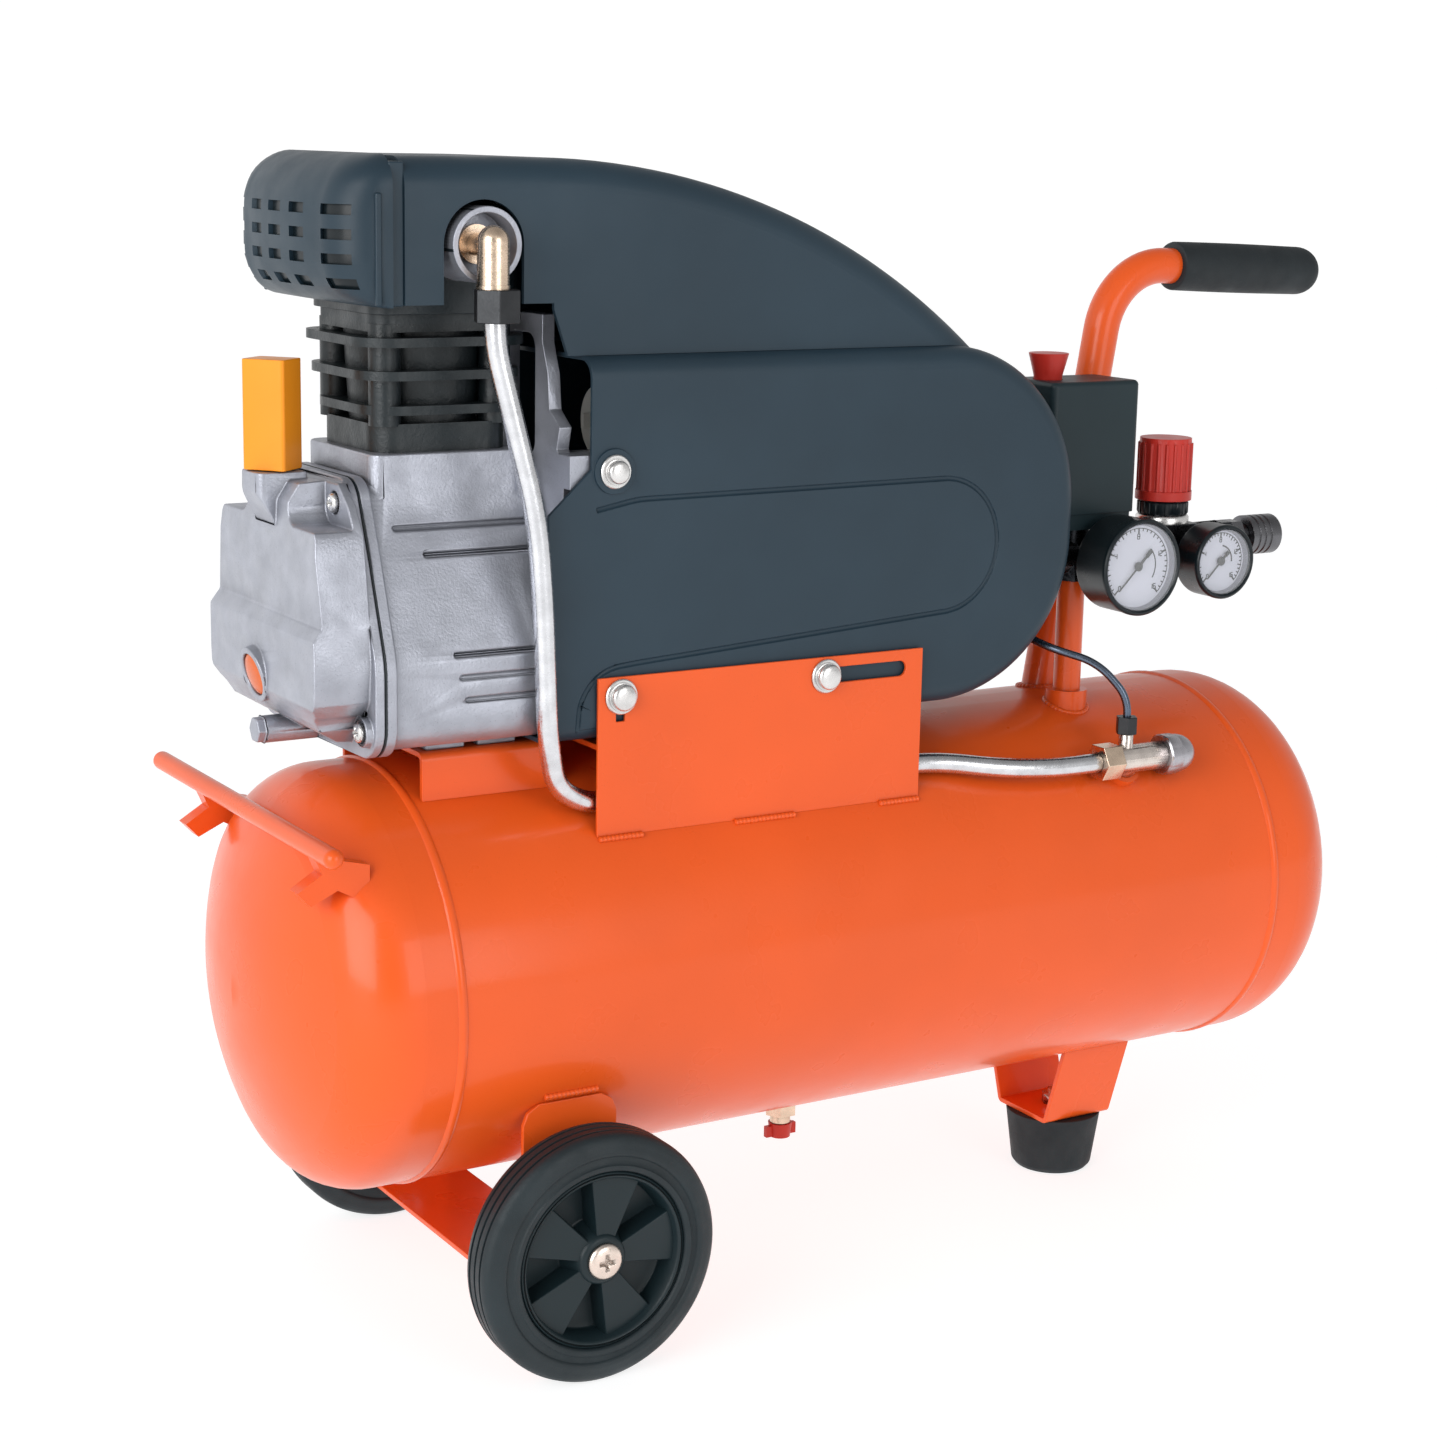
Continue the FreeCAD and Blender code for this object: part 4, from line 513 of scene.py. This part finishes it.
def build_welds():
    """Beads beside the wheel bracket, along the saddle plates and around the two tubes on the tank."""
    bm = bmesh.new()
    for side in (-1, 1):
        add_bead(bm, [(-233, side * 102.2, 144.4), (-202, side * 102.2, 144.4)], 1.7)
        add_bead(bm, [(-191.5, side * 80.9, 269.4), (-165, side * 80.9, 269.4)], 1.6)
        add_bead(bm, [(-110, side * 80.9, 269.4), (-72, side * 80.9, 269.4)], 1.6)
        add_bead(bm, [(-18, side * 80.9, 269.4), (8.2, side * 80.9, 269.4)], 1.6)
    add_bead(bm, ring_on_tank(150, -28, 12.4, 12.4), 1.5)
    add_bead(bm, ring_on_tank(159, 12, 11.3, 11.0), 1.6)
    add_piece("weld_beads", bm, "tank_paint")


# ---------------------------------------------------------------- gauges and regulator
LARGE = (161.7, 386.8)    # x and z of the tank gauge's middle
SMALL = (226.0, 385.5)    # x and z of the line gauge's middle
LARGE_DIAL = -72.5        # y of each dial's printed face
SMALL_DIAL = -69.5
ZERO, SWEEP = -135, 270   # the scales in degrees, clockwise from the top
STROKES = {"a": (0, 1, 1, 0), "b": (1, 0.5, 0, 1), "c": (1, -0.5, 0, 1), "d": (0, -1, 1, 0),
           "e": (-1, -0.5, 0, 1), "f": (-1, 0.5, 0, 1), "g": (0, 0, 1, 0)}  # right, up, flat, tall
DIGITS = {"0": "abcdef", "1": "bc", "2": "abged", "4": "fgbc", "6": "afgedc", "8": "abcdefg"}


def add_sector(bm, centre, y, inner, outer, start, end):
    """Thin arc strip on a dial; angles in degrees clockwise from the top as seen from -Y."""
    depth = 0.08
    section = ((inner, 0.0), (outer, 0.0), (outer, depth), (inner, depth))
    rows = []
    count = max(2, int(abs(end - start) / 4))
    for i in range(count + 1):
        a = math.radians(start + (end - start) * i / count)
        spots = [(centre[0] + r * math.sin(a), y - d, centre[1] + r * math.cos(a)) for r, d in section]
        rows.append([bm.verts.new(Vector(spot) * MM) for spot in spots])
    for first, second in zip(rows, rows[1:]):
        for k in range(4):
            m = (k + 1) % 4
            bm.faces.new((first[k], first[m], second[m], second[k]))
    bm.faces.new(rows[0])
    bm.faces.new(rows[-1])


def add_number(bm, text, x, y, z, height):
    """Plain figures drawn with straight strokes, centred on a point of a dial."""
    wide, stroke = height * 0.28, height * 0.10
    for n, figure in enumerate(text):
        middle = x + (n - (len(text) - 1) / 2) * wide * 3.0
        for key in DIGITS[figure]:
            dx, dz, flat, tall = STROKES[key]
            half = (wide if flat else stroke, 0.04, height / 4 if tall else stroke)
            add_block(bm, (middle + dx * wide, y - 0.04, z + dz * height / 2), half)


def build_gauge_cases():
    """Turned cases of both gauges and the grey liner around each dial."""
    cases = bmesh.new()
    turn_on_lathe(cases, (LARGE[0], -46, LARGE[1]), (0, -1, 0), [
        (0, 9.6), (4, 9.6), (4.1, 25.2), (5.0, 26.9), (6.6, 27.4), (28.6, 27.5), (29.4, 27.9), (31.2, 27.8),
        (32.0, 27.0), (32.1, 26.0), (31.4, 25.2), (30.2, 24.95), (25.0, 24.9), (24.9, 0)], 128)
    turn_on_lathe(cases, (SMALL[0], -50, SMALL[1]), (0, -1, 0), [
        (0, 7.5), (4, 7.5), (4.1, 19.4), (5.0, 20.9), (6.4, 21.4), (21.8, 21.5), (22.6, 21.8), (24.2, 21.7),
        (25.0, 21.0), (25.1, 20.1), (24.5, 19.3), (23.4, 18.95), (18.2, 18.9), (18.1, 0)], 128)
    add_piece("gauge_cases_turned", cases, "gauge_black", "frame", ["gauge_cases"])
    liner = bmesh.new()
    turn_on_lathe(liner, (LARGE[0], LARGE_DIAL, LARGE[1]), (0, -1, 0), [
        (0.02, 24.75), (0.02, 23.6), (0.9, 23.9), (3.5, 24.5), (3.5, 24.75)], 128, ring_shaped=True)
    turn_on_lathe(liner, (SMALL[0], SMALL_DIAL, SMALL[1]), (0, -1, 0), [
        (0.02, 18.7), (0.02, 17.8), (0.9, 18.0), (3.6, 18.5), (3.6, 18.7)], 128, ring_shaped=True)
    ring = add_piece("gauge_liners", liner, "dial_white")
    ring.data.materials[0] = MAT["liner_grey"]


def build_dials():
    """Invented scales without units: a ring of ticks, five figures and a shorter arc inside."""
    marks = bmesh.new()
    ticks = 32
    for centre, y, radius in ((LARGE, LARGE_DIAL, 22.2), (SMALL, SMALL_DIAL, 16.8)):
        add_sector(marks, centre, y, radius - 0.5, radius, ZERO, ZERO + SWEEP)
        for i in range(ticks + 1):
            a = ZERO + SWEEP * i / ticks
            long = 3.4 if i % 8 == 0 else (2.8 if i % 4 == 0 else 1.9)
            bold = 0.93 if i % 8 == 0 else 0.62
            half = bold * 60 / radius * 0.6
            add_sector(marks, centre, y, radius - long, radius, a - half, a + half)
    figures = ("0", "4", "8", "12", "16")
    for i, text in enumerate(figures):
        a = math.radians(ZERO + SWEEP * i / (len(figures) - 1))
        for centre, y, radius, height in ((LARGE, LARGE_DIAL, 17.2, 2.9), (SMALL, SMALL_DIAL, 12.4, 2.6)):
            x, z = centre[0] + radius * math.sin(a), centre[1] + radius * math.cos(a)
            add_number(marks, text, x, y, z, height)
    add_sector(marks, LARGE, LARGE_DIAL, 13.0, 13.8, 48, 122)
    add_sector(marks, SMALL, SMALL_DIAL, 8.6, 9.5, 10, 95)
    add_piece("dial_marks", marks, "needle_black")


def build_needles():
    """Two needles at zero, each with a broad tail and a hub cap."""
    needles = (("needle_large", LARGE, LARGE_DIAL - 1.5, 19.0, 13.0),
               ("needle_small", SMALL, SMALL_DIAL - 1.5, 14.0, 7.5))
    for name, centre, y, long, tail in needles:
        bm = bmesh.new()
        turn = Matrix.Rotation(math.radians(ZERO), 3, "Y")
        middle = Vector((centre[0], y, centre[1]))
        add_block(bm, middle + turn @ Vector((0, 0, long / 2)), (0.42, 0.25, long / 2), turn)
        add_block(bm, middle + turn @ Vector((0, 0, -tail * 0.35)), (0.7, 0.25, tail * 0.35), turn)
        add_block(bm, middle + turn @ Vector((0, 0, -tail * 0.8)), (1.25, 0.25, tail * 0.2), turn)
        turn_on_lathe(bm, (centre[0], y + 2.9, centre[1]), (0, -1, 0),
                      [(0, 1.2), (2.3, 1.2), (2.3, 2.6), (3.4, 2.6), (3.8, 2.0), (3.9, 0)], 48)
        add_piece(name + "_painted", bm, "needle_black", name, [name])


def build_regulator_collar():
    """Ribbed collar and plated bonnet nut between the regulator and its knob."""
    x, y = 216, -28
    ribs = lambda a, along: 0.5 * (math.cos(24 * a) > 0)
    bm = bmesh.new()
    turn_on_lathe(bm, (x, y, 409.2), (0, 0, 1),
                  [(0, 6.2), (0, 13.9), (1, 14.6), (6.8, 14.6), (7.6, 13.9), (7.6, 6.2)], 192, ribs, True)
    add_piece("regulator_collar", bm, "gauge_black")
    bm = bmesh.new()
    turn_on_lathe(bm, (x, y, 404.0), (0, 0, 1),
                  [(0, 15.7), (3.4, 15.7), (4.4, 15.0), (5.2, 13.6), (5.2, 6.2), (0, 6.2)], 96, None, True)
    add_piece("regulator_bonnet_ring", bm, "zinc_fasteners")


def build_sight_glass():
    """Domed window with the red backing and the orange level mark behind it."""
    out = Vector((-0.97, 0, -0.24)).normalized()
    centre = Vector((-339.5, 6.0, 354.0))
    bm = bmesh.new()
    turn_on_lathe(bm, centre, out, [(0.6, 0), (0.6, 10.7), (2.6, 10.7), (3.6, 9.4), (4.4, 6.0), (4.7, 0)], 64)
    add_piece("sight_window", bm, "sight_glass", "frame", ["oil_sight_glass"])
    bm = bmesh.new()
    turn_on_lathe(bm, centre, out, [(-1.4, 0), (-1.4, 10.6), (0.2, 10.6), (0.2, 0)], 64)
    add_piece("sight_backing", bm, "drain_red")
    bm = bmesh.new()
    low = centre + Vector((0.9, -3.4, -4.2))
    turn_on_lathe(bm, low, out, [(-0.2, 0), (-0.2, 4.2), (0.55, 4.2), (0.55, 0)], 48)
    add_piece("sight_level_mark", bm, "plug_orange")


# ---------------------------------------------------------------- front guard, grip, head and check valve
GUARD_BACK = -299.0       # x of the guard's open edge
SLOT_ROWS = 4


def guard_outline(z):
    """Bowed plan outline of the guard at a height, rounded under, over and at both shoulders."""
    front, half, corner = -329.5, 70.0, 24.0
    if z < 564.0:
        front += 24.0 - math.sqrt(24.0 ** 2 - (564.0 - z) ** 2)
    if z > 584.0:
        front += 28.0 - math.sqrt(28.0 ** 2 - (z - 584.0) ** 2)
    if z > 597.0:
        half -= 15.0 - math.sqrt(15.0 ** 2 - (z - 597.0) ** 2)
    reach = min(corner, (GUARD_BACK - front) * 0.85)
    bow = 3.0 * reach / corner
    turns = (0, 12, 24, 34, 40, 48, 56, 64, 72, 80, 86, 90)
    points = [(GUARD_BACK, -half)]
    for t in turns:
        a = math.radians(t)
        points.append((front + bow + reach * (1 - math.sin(a)), -half + corner * (1 - math.cos(a))))
    for i in range(1, 18):
        y = (half - corner) * (i / 9 - 1)
        points.append((front + bow * (i / 9 - 1) ** 2, y))
    return points + [(x, -y) for x, y in reversed(points[:len(turns) + 1])]


def build_guard():
    """Moulded front cap with rows of blind slots whose floors are painted darker as shade, a rib at each back
    edge and a filler behind it.
    """
    rows = [551.0 + 11.6 * k for k in range(SLOT_ROWS)]
    under = [540.0, 540.6, 541.8, 543.6, 545.8]
    slot = (-2.5, -1.9, 0.0, 1.9, 2.5)
    over = [591.5, 594.5, 597.0, 600.0, 603.0, 605.6, 607.8, 609.6, 610.9, 611.7, 612.0]
    levels = under + [z + rise for z in rows for rise in slot] + over
    columns = [(5, 11), (15, 18), (20, 23), (25, 28), (32, 38)]   # first and last point of each slot
    depth = 2.4
    bm = bmesh.new()
    grid = [[bm.verts.new(Vector((x, y, z)) * MM) for x, y in guard_outline(z)] for z in levels]
    last = len(grid[0]) - 1
    taken = set()
    shaded_slot_floors = []
    for k in range(SLOT_ROWS):
        j0 = len(under) + len(slot) * k
        j1 = j0 + len(slot) - 1
        for i0, i1 in columns:
            deep = {}
            for i in range(i0, i1 + 1):
                for j in range(j0, j1 + 1):
                    spot = grid[j][i].co
                    inward = (Vector((-290.0 * MM, spot.y * 0.45, spot.z)) - spot).normalized()
                    deep[i, j] = bm.verts.new(spot + inward * (depth * MM))
            for i in range(i0, i1):
                for j in range(j0, j1):
                    taken.add((i, j))
                    floor = (deep[i, j], deep[i + 1, j], deep[i + 1, j + 1], deep[i, j + 1])
                    shaded_slot_floors.append(bm.faces.new(floor))
            loop = [(i, j0) for i in range(i0, i1)] + [(i1, j) for j in range(j0, j1)]
            loop += [(i, j1) for i in range(i1, i0, -1)] + [(i0, j) for j in range(j1, j0, -1)]
            for (i, j), (m, n) in zip(loop, loop[1:] + loop[:1]):
                bm.faces.new((grid[j][i], grid[n][m], deep[m, n], deep[i, j]))
    for j in range(len(levels) - 1):
        for i in range(last):
            if (i, j) not in taken:
                bm.faces.new((grid[j][i], grid[j][i + 1], grid[j + 1][i + 1], grid[j + 1][i]))
    bm.faces.new(grid[0])
    bm.faces.new(grid[-1])
    bm.faces.new([row[0] for row in grid] + [row[last] for row in reversed(grid)])
    # painted shade: the slot floors take the darker gauge_black material in place of the shade deep in the
    # vents
    for face in shaded_slot_floors:
        face.material_index = 1
    obj = add_piece("head_guard_moulded", bm, "cover_plastic", "frame", ["head_guard"], 50.0)
    obj.data.materials.append(MAT["gauge_black"])
    bm = bmesh.new()
    for side in (-1, 1):
        add_block(bm, (-306.5, side * 69.6, 567.5), (1.7, 1.3, 26.5))
    add_block(bm, (-295.6, 0.0, 574.5), (4.0, 66.6, 34.0))
    round_edges(add_piece("head_guard_ribs", bm, "cover_plastic"), 1.1 * MM, 3)


def build_grip():
    """Foam sleeve: slightly full in the middle, rolled lip at its mouth, round closed end."""
    tip = Vector((351.0, 12.0, 547.4))
    corner = Vector((202.065, 12.0, 553.0))
    along = (tip - corner).normalized()
    profile = [(0.0, 10.7), (0.0, 13.2), (0.5, 14.0), (1.6, 14.4)]
    profile += [(2.0 + 8.0 * k, 14.45 + 0.35 * math.sin(math.pi * k / 12)) for k in range(1, 12)]
    for k in range(12):
        t = math.pi * k / 24
        profile.append((98.5 + 14.5 * math.sin(t), 14.5 * math.cos(t) ** 0.86))
    profile.append((113.0, 0.0))
    bm = bmesh.new()
    turn_on_lathe(bm, tip - along * 104.0, along, profile, 96)
    add_piece("grip_foam", bm, "rubber_black", "frame", ["grip"])


def build_head():
    """Cast head painted black, with its outlet boss left bright; the plate and gaskets are black too."""
    def zone(x, y, z):
        on_boss = math.hypot(x + 250.2, z - 569.5) < 19.2 and y < -42.4
        return 0 if on_boss else 1
    recolour(soften("head", 0.5 * MM), zone, "black_paint")
    for node in ("valve_plate", "gaskets"):
        NODES[node].data.materials[0] = MAT["black_paint"]


def build_check_valve():
    """Coppery pipe nut, pale body and grey domed cap."""
    bm = part_of("check_valve", lambda x, y, z: x < 172.2)
    obj = add_piece("check_valve_body", bm, "brass", "frame", ["check_valve"])
    nut_end = 139.2
    recolour(obj, lambda x, y, z: 0 if x < nut_end else 1, "pale_body")
    round_edges(obj, 0.4 * MM)
    bm = bmesh.new()
    flats = lambda a, along: -0.5 * (1.0 - abs(math.cos(3 * a))) if along < 8.6 else 0.0
    turn_on_lathe(bm, (171.8, -89.0, 279.0), (1, 0, 0), [
        (0, 8.2), (0, 10.9), (0.8, 11.9), (8.0, 11.9), (9.0, 11.2), (9.6, 11.2), (12.2, 11.0), (15.4, 10.2),
        (18.2, 8.6), (20.6, 6.2), (22.2, 3.4), (22.8, 0)], 96, flats)
    cap = add_piece("check_valve_cap", bm, "brass")
    cap.data.materials[0] = MAT["grey_cap"]


# ---------------------------------------------------------------- camera, light and floor
def add_camera():
    """Long lens just above the height of the head, off the machine's near left end."""
    data = bpy.data.cameras.new("photo_camera")
    data.lens = 68.4
    data.sensor_width = 36.0
    data.clip_start = 0.05
    camera = bpy.data.objects.new("photo_camera", data)
    bpy.context.scene.collection.objects.link(camera)
    right = Vector((0.8564, -0.5160, 0.0186))
    up = Vector((0.0929, 0.1894, 0.9775))
    back = right.cross(up).normalized()
    turn = Matrix((right.normalized(), up.normalized(), back)).transposed()
    camera.matrix_world = Matrix.Translation((-0.8461, -1.2741, 0.6246)) @ turn.to_4x4()
    bpy.context.scene.camera = camera


def add_softbox(name, place, target, size, power):
    """Rectangular area light at a place, facing a target; metres and watts."""
    data = bpy.data.lights.new(name, "AREA")
    data.shape = "RECTANGLE"
    data.size = size[0]
    data.size_y = size[1]
    data.energy = power
    light = bpy.data.objects.new(name, data)
    bpy.context.scene.collection.objects.link(light)
    aim = Vector(target) - Vector(place)
    light.matrix_world = Matrix.Translation(place) @ aim.to_track_quat("-Z", "Y").to_matrix().to_4x4()


def add_world():
    """White to the eye; for light and reflections dimmer overhead, behind the camera and to the right."""
    world = bpy.data.worlds.new("studio")
    world.use_nodes = True
    tree = world.node_tree
    background = tree.nodes["Background"]

    def op(kind, first, second):
        node = tree.nodes.new("ShaderNodeMath")
        node.operation = kind
        for socket, value in zip(node.inputs, (first, second)):
            if isinstance(value, float):
                socket.default_value = value
            else:
                tree.links.new(value, socket)
        return node.outputs[0]

    def towards(direction, start, end, low, high):
        dot = tree.nodes.new("ShaderNodeVectorMath")
        dot.operation = "DOT_PRODUCT"
        dot.inputs[1].default_value = Vector(direction).normalized()
        tree.links.new(coords, dot.inputs[0])
        ramp = tree.nodes.new("ShaderNodeMapRange")
        ramp.interpolation_type = "SMOOTHSTEP"
        for key, value in (("From Min", start), ("From Max", end), ("To Min", low), ("To Max", high)):
            ramp.inputs[key].default_value = value
        tree.links.new(dot.outputs["Value"], ramp.inputs["Value"])
        return ramp.outputs["Result"]

    coords = tree.nodes.new("ShaderNodeTexCoord").outputs["Generated"]
    overhead = towards((0, 0, 1), 0.25, 0.95, 1.0, 0.40)
    front = towards((-0.50, -0.83, 0.22), 0.86, 0.975, 1.0, 0.35)
    side = towards((1, -0.2, 0), -0.6, 0.8, 1.12, 0.62)
    glow = op("MULTIPLY", op("MULTIPLY", overhead, front), side)
    seen = tree.nodes.new("ShaderNodeLightPath").outputs["Is Camera Ray"]
    strength = op("ADD", op("MULTIPLY", glow, op("SUBTRACT", 1.0, seen)), op("MULTIPLY", seen, 1.05))
    background.inputs["Color"].default_value = (1.0, 1.0, 1.0, 1.0)
    tree.links.new(strength, background.inputs["Strength"])
    bpy.context.scene.world = world


def add_studio():
    """World, two softboxes and a pale floor that rides on no body."""
    add_world()
    middle = (0.0, 0.0, 0.3)
    add_softbox("key_left", (-2.0, -1.0, 1.0), middle, (1.4, 1.4), 24.0)
    add_softbox("fill_front", (0.3, -2.4, 0.9), middle, (1.2, 1.2), 10.0)
    mesh = bpy.data.meshes.new("floor")
    reach = 8.0
    mesh.from_pydata([(-reach, -reach, 0), (reach, -reach, 0), (reach, reach, 0), (-reach, reach, 0)],
                     [], [(0, 1, 2, 3)])
    floor = bpy.data.objects.new("floor", mesh)
    bpy.context.scene.collection.objects.link(floor)
    s = Surface("pale_floor")
    s.colour(s.blend(s.spread(s.noise(3.0), 0.0, 1.0), (0.38, 0.385, 0.39), (0.40, 0.405, 0.41)))
    s.put(Roughness=0.7, Specular_IOR_Level=0.1, Emission_Color=(1.0, 1.0, 1.0), Emission_Strength=0.78)
    mesh.materials.append(s.mat)
    bpy.context.scene.view_settings.view_transform = "Standard"


add_camera()
add_studio()
dress_cad_nodes()
for node, width in (
    ("crankcase", 1.2), ("crankcase_cover", 1.0), ("saddles", 0.5), ("wheel_bracket", 0.6),
    ("black_nuts", 0.5), ("breather_plug", 0.5), ("regulator_knob", 0.3), ("regulator_body", 0.5),
    ("switch_cover", 0.4), ("lower_cover", 0.4), ("motor_flange", 0.5), ("coupler_sleeve", 0.25),
    ("coupler_body", 0.3), ("manifold", 0.3), ("foot_bracket", 0.5), ("rubber_foot", 0.6),
    ("switch_knob", 0.4),
):
    soften(node, width * MM)
for side, end in ((-1, "near"), (1, "far")):
    build_tyre(side, "tyre_" + end)
    build_rim(side, "wheel_rim_" + end)
build_fasteners()
build_welds()
build_gauge_cases()
build_dials()
build_needles()
build_regulator_collar()
build_sight_glass()
build_guard()
build_grip()
build_head()
build_check_valve()
